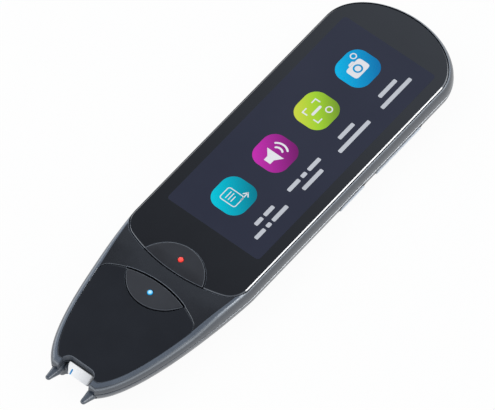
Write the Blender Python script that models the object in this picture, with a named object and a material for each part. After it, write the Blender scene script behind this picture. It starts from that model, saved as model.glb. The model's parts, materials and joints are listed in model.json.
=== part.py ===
# Scanning pen: a flat, hand-sized pen body with a display under a cover glass,
# two front buttons, two side keys and a sprung two-prong nib at its tip.
#
# The pen lies on its flat back. +Z is up, out of the display. The tip points
# along -Y and the side keys are on +X. The origin is under the middle of the
# pen, on the surface that the pen lies on. Lengths are in metres.

import math

import bmesh
import bpy
from mathutils import Matrix

MM = 0.001

# Clearances
SEAT_GAP = 0.3 * MM
FINE_GAP = 0.15 * MM
CUT_OVERRUN = 1.0 * MM

# Body outline, seen from above
PEN_LENGTH = 156.6 * MM
BODY_WIDTH = 44.2 * MM
END_LENGTH = 15.4 * MM
NOSE_LENGTH = 52.3 * MM
NOSE_OVERSHOOT = 2.1 * MM
NOSE_POWER = 1.2
NOSE_ROUNDNESS = 3.0
NIB_REACH = 4.0 * MM

# Body heights
GLASS_TOP_Z = 12.5 * MM
SHELL_WALL = 1.5 * MM
EDGE_ROLL = 1.65 * MM
EDGE_LAND = 0.5 * MM
BACK_ROLL = 11.0 * MM
BACK_TIP_ROLL = 3.4 * MM
INNER_ROLL_STEP = 1.0 * MM
INNER_TIP_ROLL_STEP = 0.8 * MM
NOSE_RISE = 2.6 * MM
NOSE_RISE_LENGTH = 34.0 * MM
NOSE_RISE_POWER = 1.6
LIP_WIDTH = 0.7 * MM
LIP_DROP = 0.7 * MM
DECK_WALL = 1.2 * MM
NOSE_SKIN = 0.55 * MM

# Cover glass and display
GLASS_THICKNESS = 0.8 * MM
GLASS_MARGIN = 1.1 * MM
GLASS_END_MARGIN = 1.5 * MM
GLASS_END_LENGTH = 14.4 * MM
GLASS_EDGE = 0.45 * MM
GLASS_SAG_RADIUS = 52.5 * MM
GLASS_CORNER = 6.5 * MM
DISPLAY_THICKNESS = 2.2 * MM
DISPLAY_SIDE_MARGIN = 3.2 * MM
DISPLAY_LOW_MARGIN = 16.65 * MM
DISPLAY_END_MARGIN = 11.8 * MM
DISPLAY_SHIFT = 0.35 * MM
DISPLAY_EDGE = 0.3 * MM

# Front buttons: two segments of one circle, parted by the waist band
BUTTON_RADIUS = 11.2 * MM
WAIST_FROM_TIP = 40.3 * MM
WAIST_WIDTH = 4.9 * MM
BUTTON_RAISE = 0.6 * MM
BUTTON_EDGE = 0.35 * MM
BUTTON_TRAVEL = 0.35 * MM
FLANGE_OVERHANG = 0.7 * MM
FLANGE_THICKNESS = 0.6 * MM
LIGHT_RADIUS = 0.8 * MM
LIGHT_OFFSET = 6.7 * MM
SWITCH_OFFSET = 4.5 * MM
SWITCH_WIDTH = 3.2 * MM
LIGHT_CHIP_WIDTH = 1.6 * MM
LIGHT_CHIP_HEIGHT = 0.6 * MM

# Nose plate
PLATE_EDGE_HEIGHT = 1.6 * MM
PLATE_ARC_RADIUS = 32.0 * MM
PLATE_CORNER = 3.5 * MM
PLATE_MARGIN = 1.9 * MM
PLATE_SINK = 0.2 * MM
PLATE_BEVEL = 0.2 * MM
CROWN_DROP = 1.0 * MM
CROWN_START = 0.8 * MM
CROWN_RUN = 13.0 * MM
CROWN_POWER = 2.5
TIP_FALL = 0.2 * MM

# Nose opening
NOTCH_WIDTH = 11.4 * MM
NOTCH_DEPTH = 4.3 * MM
NOTCH_CORNER = 2.4 * MM

# Nib fork
PRONG_SPACING = 12.9 * MM
PRONG_RADIUS = 1.5 * MM
PRONG_TIP_RADIUS = 0.85 * MM
PRONG_DROP = 0.25 * MM
PRONG_LIFT = 0.8 * MM
ARM_WIDTH = 1.5 * MM
ARM_HEIGHT = 1.8 * MM
BRIDGE_WIDTH = 1.6 * MM
NIB_TRAVEL = 0.8 * MM
NIB_SWITCH_WIDTH = 4.0 * MM
NIB_SWITCH_LENGTH = 2.2 * MM
NIB_SWITCH_HEIGHT = 1.6 * MM
NIB_SWITCH_GAP = 1.85 * MM

# Boards
BOARD_DROP = 2.0 * MM
BOARD_UNDER_GAP = 0.4 * MM
BOARD_SIDE_GAP = 0.35 * MM
BOARD_END_GAP = 5.3 * MM
BOARD_THICKNESS = 0.8 * MM
BOARD_CORNER = 7.0 * MM
SHIELD_SIZE = 17.0 * MM
SHIELD_CLEARANCE = 0.9 * MM
RADIO_WIDTH = 10.0 * MM
RADIO_LENGTH = 13.0 * MM
RADIO_CLEARANCE = 0.8 * MM
RADIO_FROM_END = 32.3 * MM
SMALL_EDGE = 0.25 * MM

# Battery, speaker and rear camera
BATTERY_SIDE_MARGIN = 10.1 * MM
BATTERY_POST_GAP = 2.4 * MM
BATTERY_SPEAKER_GAP = 6.5 * MM
BATTERY_EDGE = 0.8 * MM
SPEAKER_WIDTH = 18.0 * MM
SPEAKER_LENGTH = 11.0 * MM
SPEAKER_EDGE = 0.5 * MM
SPEAKER_FROM_END = 32.8 * MM
MESH_THICKNESS = 0.3 * MM
MESH_WIDTH = 16.0 * MM
MESH_LENGTH = 8.4 * MM
MESH_CORNER = 1.0 * MM
SLOT_COUNT = 7
SLOT_WIDTH = 1.0 * MM
SLOT_LENGTH = 6.0 * MM
SLOT_PITCH = 2.0 * MM
SLOT_FLAT = 0.05 * MM
CAMERA_WIDTH = 8.0 * MM
CAMERA_FROM_END = 18.3 * MM
WINDOW_RADIUS = 3.6 * MM
WINDOW_THICKNESS = 0.8 * MM
WINDOW_LEDGE = 0.9 * MM
WINDOW_SINK = 0.1 * MM

# Charging socket and microphones
SOCKET_WIDTH = 8.9 * MM
SOCKET_HEIGHT = 3.2 * MM
SOCKET_LENGTH = 7.3 * MM
SOCKET_WALL = 0.35 * MM
SOCKET_BACK = 0.8 * MM
SOCKET_SETBACK = 0.7 * MM
TONGUE_WIDTH = 6.6 * MM
TONGUE_HEIGHT = 0.7 * MM
TONGUE_SETBACK = 0.8 * MM
MICROPHONE_WIDTH = 3.0 * MM
MICROPHONE_HEIGHT = 1.0 * MM
MICROPHONE_X = 8.5 * MM
MICROPHONE_FROM_END = 13.3 * MM
PINHOLE_RADIUS = 0.5 * MM

# Side keys
KEY_HEIGHT = 2.4 * MM
KEY_LIP_GAP = 0.4 * MM
KEY_ROCK_GAP = 0.7 * MM
KEY_RAISE = 0.5 * MM
KEY_EDGE = 0.3 * MM
KEY_FLANGE = 0.6 * MM
KEY_FLANGE_REACH = 0.7 * MM
KEY_TRAVEL = 0.4 * MM
KEY_END_RADIUS = 0.9 * MM
ROCKER_LENGTH = 19.6 * MM
ROCKER_FROM_END = 36.0 * MM
ROCKER_SWITCH_REACH = 6.5 * MM
POWER_LENGTH = 10.4 * MM
POWER_FROM_END = 56.7 * MM
SIDE_SWITCH_WIDTH = 3.0 * MM
SIDE_SWITCH_DEPTH = 1.0 * MM
SIDE_SWITCH_HEIGHT = 1.8 * MM
SIDE_BOARD_THICKNESS = 0.5 * MM
SIDE_BOARD_MARGIN = 1.0 * MM

# Scanner in the nose
LENS_RADIUS = 1.9 * MM
LENS_LENGTH = 3.8 * MM
LENS_GLASS_RADIUS = 1.3 * MM
LENS_GLASS_DEPTH = 0.6 * MM
SCAN_CAMERA_WIDTH = 7.0 * MM
SCAN_CAMERA_LENGTH = 5.4 * MM
SCAN_CLEARANCE = 0.45 * MM
SCAN_BRIDGE_GAP = 0.2 * MM
SCAN_BOARD_LENGTH = 13.0 * MM
SCAN_BOARD_THICKNESS = 0.7 * MM
LAMP_WIDTH = 1.8 * MM
LAMP_HEIGHT = 2.8 * MM
SHROUD_WALL = 0.7 * MM
SHROUD_SIDE_GAP = 0.9 * MM
SHROUD_TAPER = 2.1 * MM
SHROUD_CAP_RAISE = 1.85 * MM
SHROUD_CAP_RUN = 0.4 * MM
SHROUD_LIP_FALL = 1.8 * MM
SHROUD_LIP_SETBACK = 0.9 * MM
SHROUD_CHIN = 2.3 * MM
SHROUD_CORNER_CUT = 1.4 * MM
SHROUD_CORNER_RUN = 2.1 * MM

# Screws and their posts
SCREW_RADIUS = 0.8 * MM
SCREW_HEAD_RADIUS = 1.6 * MM
SCREW_HEAD_HEIGHT = 0.6 * MM
SCREW_GRIP = 2.6 * MM
POST_RADIUS = 2.1 * MM
POST_SIDE_GAP = 0.35 * MM
POST_BOARD_GAP = 1.95 * MM
CASE_JOINT_DROP = 1.6 * MM
BOARD_SCREW_MARGIN = 9.7 * MM
BOARD_SCREW_FROM_WAIST = 9.0 * MM
BOARD_SCREW_FROM_END = 23.8 * MM
DRIVE_RADIUS = 0.7 * MM
DRIVE_DEPTH = 0.3 * MM

# Facet counts
NOSE_STEPS = 14
SIDE_STEPS = 3
END_STEPS = 12
ARC_STEPS = 8
ROUND_STEPS = 24
SMALL_ROUND_STEPS = 16
ROLL_STEPS = 5
BACK_STEPS = 6
INNER_STEPS = 4
CROWN_SHARES = (0.9, 0.75, 0.5, 0.25)
KEY_END_SHARES = (0.15, 0.5)
KEY_FACE_STEPS = 4
TIP_STEPS = 4
EDGE_SHARE = 0.3
LIGHT_EDGE_SHARE = 0.3
TIP_FLAT_SHARE = 0.2

# Places worked out from the sizes above: outline
HALF_WIDTH = BODY_WIDTH / 2
FAR_END_Y = PEN_LENGTH / 2
NIB_TIP_Y = -PEN_LENGTH / 2
BODY_TIP_Y = NIB_TIP_Y + NIB_REACH
NOSE_START_Y = BODY_TIP_Y + NOSE_LENGTH
NOSE_REACH = NOSE_LENGTH + NOSE_OVERSHOOT
END_Y = FAR_END_Y - END_LENGTH
WAIST_Y = BODY_TIP_Y + WAIST_FROM_TIP
CROWN_START_Y = WAIST_Y + CROWN_START
NOSE_RISE_Y = BODY_TIP_Y + NOSE_RISE_LENGTH
GLASS_HALF_WIDTH = HALF_WIDTH - GLASS_MARGIN
GLASS_END_Y = FAR_END_Y - GLASS_END_MARGIN - GLASS_END_LENGTH
GLASS_LOW_Y = WAIST_Y + WAIST_WIDTH / 2
PLATE_HIGH_Y = WAIST_Y - WAIST_WIDTH / 2

# Heights, from the glass down to the back
DECK_TOP_Z = GLASS_TOP_Z - GLASS_THICKNESS - SEAT_GAP
DECK_LOW_Z = DECK_TOP_Z - DECK_WALL
ABOVE_Z = GLASS_TOP_Z + CUT_OVERRUN
BUTTON_TOP_Z = GLASS_TOP_Z + BUTTON_RAISE
PLATE_LOW_Z = GLASS_TOP_Z - CROWN_DROP - TIP_FALL - PLATE_SINK - PLATE_EDGE_HEIGHT
PLATE_FLOOR_Z = PLATE_LOW_Z - SEAT_GAP
NOSE_CEILING_Z = PLATE_FLOOR_Z - NOSE_SKIN
FRAME_LOW_Z = NOSE_CEILING_Z - FINE_GAP
SIDE_Z = FRAME_LOW_Z + EDGE_LAND
PART_LINE_Z = FRAME_LOW_Z - SEAT_GAP
LIP_LOW_Z = PART_LINE_Z - LIP_DROP
LIP_INSET = SHELL_WALL + SEAT_GAP
FRAME_WALL = LIP_INSET + LIP_WIDTH
FLOOR_Z = SHELL_WALL
BACK_INNER_ROLL = BACK_ROLL - INNER_ROLL_STEP
BACK_INNER_TIP_ROLL = BACK_TIP_ROLL - INNER_TIP_ROLL_STEP
BOARD_TOP_Z = PART_LINE_Z - BOARD_DROP
BOARD_LOW_Z = BOARD_TOP_Z - BOARD_THICKNESS
BOARD_SEAT_Z = BOARD_TOP_Z + SEAT_GAP
DISPLAY_LOW_Z = DECK_TOP_Z - DISPLAY_THICKNESS

# Front buttons and display
POCKET_GROWTH = FLANGE_OVERHANG + SEAT_GAP
HOME_FLANGE_Z = DECK_LOW_Z - SEAT_GAP
SELECT_FLANGE_Z = NOSE_CEILING_Z - SEAT_GAP
HOME_LIGHT_Y = WAIST_Y + LIGHT_OFFSET
SELECT_LIGHT_Y = WAIST_Y - LIGHT_OFFSET
DISPLAY_WIDTH = 2 * (GLASS_HALF_WIDTH - DISPLAY_SIDE_MARGIN)
DISPLAY_NEAR_Y = GLASS_LOW_Y + DISPLAY_LOW_MARGIN
DISPLAY_FAR_Y = FAR_END_Y - DISPLAY_END_MARGIN

# Nose, from the lower button to the tip
SELECT_LOW_Y = WAIST_Y - BUTTON_RADIUS - FLANGE_OVERHANG
NIB_SWITCH_Y = SELECT_LOW_Y - NIB_SWITCH_GAP - NIB_SWITCH_LENGTH
BOARD_LOW_Y = NIB_SWITCH_Y
ARM_BACK_Y = NIB_SWITCH_Y - NIB_TRAVEL - FINE_GAP
SCAN_CAMERA_BACK_Y = ARM_BACK_Y - BRIDGE_WIDTH - SCAN_BRIDGE_GAP
LENS_Y = SCAN_CAMERA_BACK_Y - SCAN_CAMERA_LENGTH - SEAT_GAP - LENS_LENGTH
SHROUD_BACK_Y = LENS_Y - SEAT_GAP
SHROUD_FRONT_Y = BODY_TIP_Y + SHROUD_LIP_SETBACK
SHROUD_CAP_Y = BODY_TIP_Y + NOTCH_DEPTH - SEAT_GAP
SHROUD_WIDTH = PRONG_SPACING - 2 * (PRONG_RADIUS + SHROUD_SIDE_GAP)
SHROUD_BACK_WIDTH = SHROUD_WIDTH - SHROUD_TAPER
PRONG_X = PRONG_SPACING / 2
PRONG_Z = NOSE_CEILING_Z - PRONG_DROP - PRONG_RADIUS
SCAN_BOARD_WIDTH = PRONG_SPACING - ARM_WIDTH - 2 * FINE_GAP
LAMP_X = SCAN_BOARD_WIDTH / 2 - SEAT_GAP - LAMP_WIDTH / 2

# Inside the body
BOARD_HIGH_Y = FAR_END_Y - BOARD_END_GAP
RADIO_Y = FAR_END_Y - RADIO_FROM_END
SHIELD_Y = (HOME_LIGHT_Y + RADIO_Y) / 2
SPEAKER_Y = FAR_END_Y - SPEAKER_FROM_END
CAMERA_Y = FAR_END_Y - CAMERA_FROM_END
MICROPHONE_Y = FAR_END_Y - MICROPHONE_FROM_END
WINDOW_LEDGE_Z = WINDOW_SINK + WINDOW_THICKNESS + FINE_GAP
CASE_JOINT_Z = PART_LINE_Z - CASE_JOINT_DROP
CASE_HEAD_Z = PLATE_FLOOR_Z - SCREW_HEAD_HEIGHT - SEAT_GAP
CASE_SCREW_TIP_Z = CASE_JOINT_Z - SCREW_GRIP
CASE_SCREW_X = PRONG_X + ARM_WIDTH / 2 + POST_SIDE_GAP + POST_RADIUS
CASE_SCREW_Y = BOARD_LOW_Y - POST_BOARD_GAP - POST_RADIUS
BOARD_SCREW_TIP_Z = BOARD_LOW_Z - SCREW_GRIP
BOARD_SCREW_X = HALF_WIDTH - BOARD_SCREW_MARGIN
BOARD_SCREW_LOW_Y = WAIST_Y + BOARD_SCREW_FROM_WAIST
BOARD_SCREW_HIGH_Y = FAR_END_Y - BOARD_SCREW_FROM_END
BATTERY_NEAR_Y = BOARD_SCREW_LOW_Y + POST_RADIUS + BATTERY_POST_GAP
BATTERY_FAR_Y = SPEAKER_Y - SPEAKER_LENGTH / 2 - BATTERY_SPEAKER_GAP
BATTERY_HALF_WIDTH = HALF_WIDTH - BATTERY_SIDE_MARGIN


def cover_side_x(z, inner=False):
    """Half the rear cover's width at a height, outside or inside its wall."""
    wall = SHELL_WALL if inner else 0
    roll = BACK_INNER_ROLL if inner else BACK_ROLL
    sine = min(1.0, max(0.0, (PART_LINE_Z - z) / (PART_LINE_Z - wall)))
    return HALF_WIDTH - wall - roll * (1 - math.sqrt(1 - sine * sine))


# Side keys, from the cover's wall inwards
KEY_Z = LIP_LOW_Z - KEY_LIP_GAP - KEY_HEIGHT / 2
KEY_BACK_X = cover_side_x(KEY_Z - KEY_HEIGHT / 2, inner=True) - KEY_ROCK_GAP
ROCKER_Y = FAR_END_Y - ROCKER_FROM_END
POWER_Y = FAR_END_Y - POWER_FROM_END
SIDE_SWITCH_X = KEY_BACK_X - KEY_FLANGE - KEY_TRAVEL - FINE_GAP
SIDE_BOARD_X = SIDE_SWITCH_X - SIDE_SWITCH_DEPTH - SEAT_GAP
BOARD_WIDTH = 2 * (SIDE_BOARD_X - SIDE_BOARD_THICKNESS - BOARD_SIDE_GAP)


def colour_material(name, colour, roughness, metallic=0.0):
    """Make one sub-part's own Principled material."""
    material = bpy.data.materials.new(name)
    material.use_nodes = True
    shader = material.node_tree.nodes["Principled BSDF"]
    shader.inputs["Base Color"].default_value = (*colour, 1.0)
    shader.inputs["Roughness"].default_value = roughness
    shader.inputs["Metallic"].default_value = metallic
    material.diffuse_color = (*colour, 1.0)
    return material


def add_object(name, bm, material):
    """Turn a closed bmesh into a named object with smooth round faces."""
    mesh = bpy.data.meshes.new(name)
    bm.to_mesh(mesh)
    bm.free()
    mesh.shade_smooth()
    mesh.set_sharp_from_angle(angle=math.radians(30))
    if material is not None:
        mesh.materials.append(material)
    built = bpy.data.objects.new(name, mesh)
    bpy.context.collection.objects.link(built)
    return built


def as_cutter(built):
    """Mark an object as a tool that shapes others and isn't a piece."""
    built.hide_render = True
    built.display_type = "WIRE"
    return built


def apply_boolean(target, tool, operation):
    """Cut a tool out of a piece, or join it to the piece."""
    modifier = target.modifiers.new(tool.name, "BOOLEAN")
    modifier.operation = operation
    modifier.solver = "EXACT"
    modifier.object = as_cutter(tool)


def cut(target, *tools):
    for tool in tools:
        apply_boolean(target, tool, "DIFFERENCE")


def join(target, *tools):
    for tool in tools:
        apply_boolean(target, tool, "UNION")


def face_of(bm, corners):
    """Add a face, leaving out corners that have run together."""
    distinct = []
    for corner in corners:
        if corner not in distinct:
            distinct.append(corner)
    if len(distinct) > 2:
        bm.faces.new(distinct)


def mirrored_rows(bm, ring):
    """Vertices of a half ring and of its mirror image across X = 0."""
    right = [bm.verts.new(point) for point in ring]
    left = []
    for vert in right:
        on_middle = vert.co.x == 0
        left.append(vert if on_middle else bm.verts.new((-vert.co.x, vert.co.y, vert.co.z)))
    return right, left


def cap_rows(bm, right, left, height, upward):
    """Close a ring with rows across it, crowned where a height is given."""
    rows = []
    for near, far in zip(right, left):
        row = [near]
        if height is not None and near is not far:
            x, y = near.co.x, near.co.y
            shares = CROWN_SHARES + (0,) + tuple(-share for share in reversed(CROWN_SHARES))
            row += [bm.verts.new((x * share, y, height(x * share, y))) for share in shares]
        row.append(far)
        rows.append(row)
    for low, high in zip(rows, rows[1:]):
        count = max(len(low), len(high))
        low = low if len(low) == count else [low[0]] * count
        high = high if len(high) == count else [high[0]] * count
        for column in range(count - 1):
            corners = [low[column], high[column], high[column + 1], low[column + 1]]
            face_of(bm, corners if upward else corners[::-1])
    if height is not None:
        bm.faces.new(rows[0])


def loft(name, rings, material, height=None):
    """Close a stack of half rings, given from tip to far end, into a solid.

    The rings run along the skin from its start cap, which faces down, to its
    end cap, which faces up and is crowned where a height is given.
    """
    bm = bmesh.new()
    loops = [mirrored_rows(bm, ring) for ring in rings]
    for (right_a, left_a), (right_b, left_b) in zip(loops, loops[1:]):
        for step in range(len(right_a) - 1):
            face_of(bm, [right_a[step], right_a[step + 1], right_b[step + 1], right_b[step]])
            face_of(bm, [left_a[step + 1], left_a[step], left_b[step], left_b[step + 1]])
        face_of(bm, [left_a[0], right_a[0], right_b[0], left_b[0]])
        face_of(bm, [right_a[-1], left_a[-1], left_b[-1], right_b[-1]])
    cap_rows(bm, *loops[0], None, upward=False)
    cap_rows(bm, *loops[-1], height, upward=True)
    bmesh.ops.triangulate(bm, faces=bm.faces)
    return add_object(name, bm, material)


def prism(name, outline, low, high, material=None, axis="Z"):
    """Extrude a closed outline along Z, or an outline in XZ along Y."""
    bm = bmesh.new()
    ends = []
    for level in (low, high):
        points = [(u, v, level) if axis == "Z" else (u, level, v) for u, v in outline]
        ends.append([bm.verts.new(point) for point in points])
    count = len(outline)
    for step in range(count):
        after = (step + 1) % count
        bm.faces.new([ends[0][step], ends[0][after], ends[1][after], ends[1][step]])
    bm.faces.new(ends[0][::-1])
    bm.faces.new(ends[1])
    bmesh.ops.recalc_face_normals(bm, faces=bm.faces)
    return add_object(name, bm, material)


def box(name, low, high, material=None, edge=0.0):
    """A block between two corners, with its edges bevelled where asked."""
    bm = bmesh.new()
    bmesh.ops.create_cube(bm, size=1)
    middle = [(a + b) / 2 for a, b in zip(low, high)]
    bmesh.ops.scale(bm, vec=[b - a for a, b in zip(low, high)], verts=bm.verts)
    bmesh.ops.translate(bm, vec=middle, verts=bm.verts)
    if edge:
        bmesh.ops.bevel(bm, geom=bm.edges, offset=edge, segments=2, profile=0.5, affect="EDGES")
    return add_object(name, bm, material)


def turned(name, profile, place, axis, material=None, steps=ROUND_STEPS):
    """Turn a profile of (radius, distance along the axis) into a solid."""
    bm = bmesh.new()
    rings = []
    for radius, along in profile:
        ring = []
        for step in range(steps):
            angle = 2 * math.pi * step / steps
            ring.append(bm.verts.new((radius * math.cos(angle), radius * math.sin(angle), along)))
        rings.append(ring)
    for low, high in zip(rings, rings[1:]):
        for step in range(steps):
            after = (step + 1) % steps
            bm.faces.new([low[step], low[after], high[after], high[step]])
    bm.faces.new(rings[0][::-1])
    bm.faces.new(rings[-1])
    quarter = math.pi / 2
    turns = {"Z": (0, 0, 0), "-Y": (quarter, 0, 0), "-Z": (math.pi, 0, 0)}
    built = add_object(name, bm, material)
    built.location = place
    built.rotation_euler = turns[axis]
    return built


def joined_shapes(name, parts, material=None):
    """One mesh of several shapes, whose places are kept."""
    bm = bmesh.new()
    bpy.context.view_layer.update()
    for part in parts:
        start = len(bm.verts)
        bm.from_mesh(part.data)
        bm.verts.ensure_lookup_table()
        bmesh.ops.transform(bm, matrix=part.matrix_world, verts=bm.verts[start:])
        bpy.data.objects.remove(part)
    return add_object(name, bm, material)


def nose_share(along):
    """Width of the nose at a share of its reach, as a share of full width."""
    return max(0.0, 1 - along ** NOSE_POWER) ** (1 / NOSE_ROUNDNESS)


def body_half_width(y, inset=0.0):
    """Half the body's width at y, drawn in all round by an inset."""
    half = HALF_WIDTH - inset
    if y < NOSE_START_Y:
        return half * nose_share(min(1.0, (NOSE_START_Y - y) / (NOSE_REACH - inset)))
    if y > END_Y:
        return half * math.sqrt(max(0.0, 1 - ((y - END_Y) / (END_LENGTH - inset)) ** 2))
    return half


def body_outline(inset, tip_inset=None):
    """Right half of the body's outline, from the blunt tip to the far end."""
    tip_inset = inset if tip_inset is None else tip_inset
    half = HALF_WIDTH - inset
    reach = NOSE_REACH - tip_inset
    blunt_share = (NOSE_START_Y - BODY_TIP_Y - tip_inset) / reach
    points = []
    for step in range(NOSE_STEPS):
        along = blunt_share * (1 - (step / NOSE_STEPS) ** 1.5)
        points.append((half * nose_share(along), NOSE_START_Y - along * reach))
    for step in range(SIDE_STEPS):
        points.append((half, NOSE_START_Y + (END_Y - NOSE_START_Y) * step / SIDE_STEPS))
    for step in range(END_STEPS):
        angle = math.pi / 2 * step / END_STEPS
        points.append((half * math.cos(angle), END_Y + (END_LENGTH - inset) * math.sin(angle)))
    points.append((0, END_Y + END_LENGTH - inset))
    return points


def smooth_step(share):
    share = min(1.0, max(0.0, share))
    return share * share * (3 - 2 * share)


def tip_share(y):
    """How far y lies along the nose, from the waist to the body's tip."""
    return min(1.0, max(0.0, (CROWN_START_Y - y) / (CROWN_START_Y - BODY_TIP_Y)))


def top_height(x, y):
    """Height of the crowned upper skin over a point of the outline."""
    half = body_half_width(y, EDGE_ROLL)
    across = min(1.0, abs(x) / half) if half > 0 else 1.0
    crown = CROWN_DROP * smooth_step((CROWN_START_Y - y) / CROWN_RUN)
    return GLASS_TOP_Z - TIP_FALL * tip_share(y) - crown * across ** CROWN_POWER


def back_height(y):
    """Height of the back, flat under the body and rising under the nose."""
    along = min(1.0, max(0.0, (NOSE_RISE_Y - y) / NOSE_RISE_LENGTH))
    return NOSE_RISE * along ** NOSE_RISE_POWER


def ring_at(outline, height):
    """Lift an outline to a height, which may be a function of x and y."""
    return [(x, y, height(x, y) if callable(height) else height) for x, y in outline]


def arc_points(centre, radius, start_deg, end_deg, steps):
    """Points of an arc, its end point left to what follows it."""
    points = []
    for step in range(steps):
        angle = math.radians(start_deg + (end_deg - start_deg) * step / steps)
        points.append((centre[0] + radius * math.cos(angle), centre[1] + radius * math.sin(angle)))
    return points


def tangent_corner(half_width, radius, sag_radius, low_y):
    """Centre of a corner that meets a straight side and a sagging edge."""
    rise = math.sqrt((sag_radius - radius) ** 2 - (half_width - radius) ** 2)
    return half_width - radius, low_y + sag_radius - rise


def glass_outline(inset=0.0):
    """Right half of the cover glass, from its sagging lower edge upwards."""
    half = GLASS_HALF_WIDTH - inset
    corner = GLASS_CORNER - inset
    sag = GLASS_SAG_RADIUS - inset
    low_y = GLASS_LOW_Y + inset
    centre = tangent_corner(half, corner, sag, low_y)
    turn = math.degrees(math.atan2(centre[1] - low_y - sag, centre[0]))
    points = arc_points((0, low_y + sag), sag, -90, turn, ARC_STEPS)
    points[0] = (0, low_y)
    points += arc_points(centre, corner, turn, 0, ARC_STEPS)
    points += [(half, centre[1]), (half, (centre[1] + GLASS_END_Y) / 2)]
    for step in range(END_STEPS):
        angle = math.pi / 2 * step / END_STEPS
        rise = (GLASS_END_LENGTH - inset) * math.sin(angle)
        points.append((half * math.cos(angle), GLASS_END_Y + rise))
    points.append((0, GLASS_END_Y + GLASS_END_LENGTH - inset))
    return points


def plate_corner(inset):
    """Centre of the nose plate's upper corner, found by stepping down its side."""
    corner = PLATE_CORNER - inset
    arc = PLATE_ARC_RADIUS - inset
    arc_y = PLATE_HIGH_Y - PLATE_ARC_RADIUS
    low, high = arc_y, PLATE_HIGH_Y
    for _ in range(40):
        y = (low + high) / 2
        x = body_half_width(y, PLATE_MARGIN + inset) - corner
        if math.hypot(x, y - arc_y) > arc - corner:
            high = y
        else:
            low = y
    return x, y


def plate_outline(inset=0.0):
    """Right half of the nose plate, from its blunt tip to its arched top."""
    margin = PLATE_MARGIN + inset
    corner_x, corner_y = plate_corner(inset)
    corner = PLATE_CORNER - inset
    low_y = BODY_TIP_Y + margin
    points = []
    for step in range(NOSE_STEPS):
        y = low_y + (corner_y - low_y) * (step / NOSE_STEPS) ** 1.3
        points.append((body_half_width(y, margin), y))
    arc_y = PLATE_HIGH_Y - PLATE_ARC_RADIUS
    arc = PLATE_ARC_RADIUS - inset
    turn = math.degrees(math.atan2(corner_y - arc_y, corner_x))
    points += arc_points((corner_x, corner_y), corner, 0, turn, ARC_STEPS)
    points += arc_points((0, arc_y), arc, turn, 90, ARC_STEPS)
    points.append((0, arc_y + arc))
    return points


def crossing_height(radius, centre_y, other_radius, other_y):
    """Y at which two circles centred on the Y axis cross."""
    squares = other_radius ** 2 - radius ** 2 + centre_y ** 2 - other_y ** 2
    return squares / (2 * (centre_y - other_y))


def home_outline(inset=0.0):
    """Right half of the upper button: the circle's part above the waist."""
    radius = BUTTON_RADIUS - inset
    sag = GLASS_SAG_RADIUS - inset
    sag_y = GLASS_LOW_Y + GLASS_SAG_RADIUS
    corner_y = crossing_height(radius, WAIST_Y, sag, sag_y)
    corner_x = math.sqrt(radius ** 2 - (corner_y - WAIST_Y) ** 2)
    sag_turn = math.degrees(math.atan2(corner_y - sag_y, corner_x))
    turn = math.degrees(math.atan2(corner_y - WAIST_Y, corner_x))
    points = arc_points((0, sag_y), sag, -90, sag_turn, ARC_STEPS)
    points[0] = (0, sag_y - sag)
    points += arc_points((0, WAIST_Y), radius, turn, 90, ARC_STEPS)
    points.append((0, WAIST_Y + radius))
    return points


def select_outline(inset=0.0):
    """Right half of the lower button: the circle's part below the waist."""
    radius = BUTTON_RADIUS - inset
    arc = PLATE_ARC_RADIUS - inset
    arc_y = PLATE_HIGH_Y - PLATE_ARC_RADIUS
    corner_y = crossing_height(radius, WAIST_Y, arc, arc_y)
    corner_x = math.sqrt(radius ** 2 - (corner_y - WAIST_Y) ** 2)
    turn = math.degrees(math.atan2(corner_y - WAIST_Y, corner_x))
    arc_turn = math.degrees(math.atan2(corner_y - arc_y, corner_x))
    points = arc_points((0, WAIST_Y), radius, -90, turn, ARC_STEPS)
    points[0] = (0, WAIST_Y - radius)
    points += arc_points((0, arc_y), arc, arc_turn, 90, ARC_STEPS)
    points.append((0, arc_y + arc))
    return points


def whole_outline(half):
    """Both halves of a mirrored outline, anticlockwise from above."""
    left = [(-x, y) for x, y in reversed(half) if x != 0]
    return half + left


def rounded_rectangle(x, y, width, length, corner):
    """Anticlockwise outline of a rectangle with round corners."""
    points = []
    reach_x = width / 2 - corner
    reach_y = length / 2 - corner
    corners = ((1, -1, -90), (1, 1, 0), (-1, 1, 90), (-1, -1, 180))
    for side_x, side_y, start in corners:
        centre = (x + side_x * reach_x, y + side_y * reach_y)
        points += arc_points(centre, corner, start, start + 90, ARC_STEPS // 2)
        end = math.radians(start + 90)
        points.append((centre[0] + corner * math.cos(end), centre[1] + corner * math.sin(end)))
    return points


def notch_tool(name):
    """Round-cornered opening in the blunt tip, cut down through both shells."""
    outline = rounded_rectangle(0, BODY_TIP_Y, NOTCH_WIDTH, 2 * NOTCH_DEPTH, NOTCH_CORNER)
    return prism(name, outline, -CUT_OVERRUN, GLASS_TOP_Z + CUT_OVERRUN)


def prong_hole_tools(name):
    """Round ways through the blunt end wall, as deep as the prongs travel."""
    radius = PRONG_RADIUS + SEAT_GAP
    depth = FRAME_WALL + SEAT_GAP + NIB_TRAVEL
    profile = [(radius, -depth), (radius, CUT_OVERRUN)]
    tools = []
    for side in (-1, 1):
        place = (side * PRONG_X, BODY_TIP_Y, PRONG_Z)
        tools.append(turned(f"{name}_{side}", profile, place, "-Y", None, SMALL_ROUND_STEPS))
    return joined_shapes(name, tools)


def socket_outline(gap=0.0):
    """Flat-sided round-ended outline of the charging socket, in XZ."""
    middle_z = BOARD_SEAT_Z + SOCKET_HEIGHT / 2
    height = SOCKET_HEIGHT + 2 * gap
    corner = height / 2 - SOCKET_WALL / 2
    return rounded_rectangle(0, middle_z, SOCKET_WIDTH + 2 * gap, height, corner)


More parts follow.
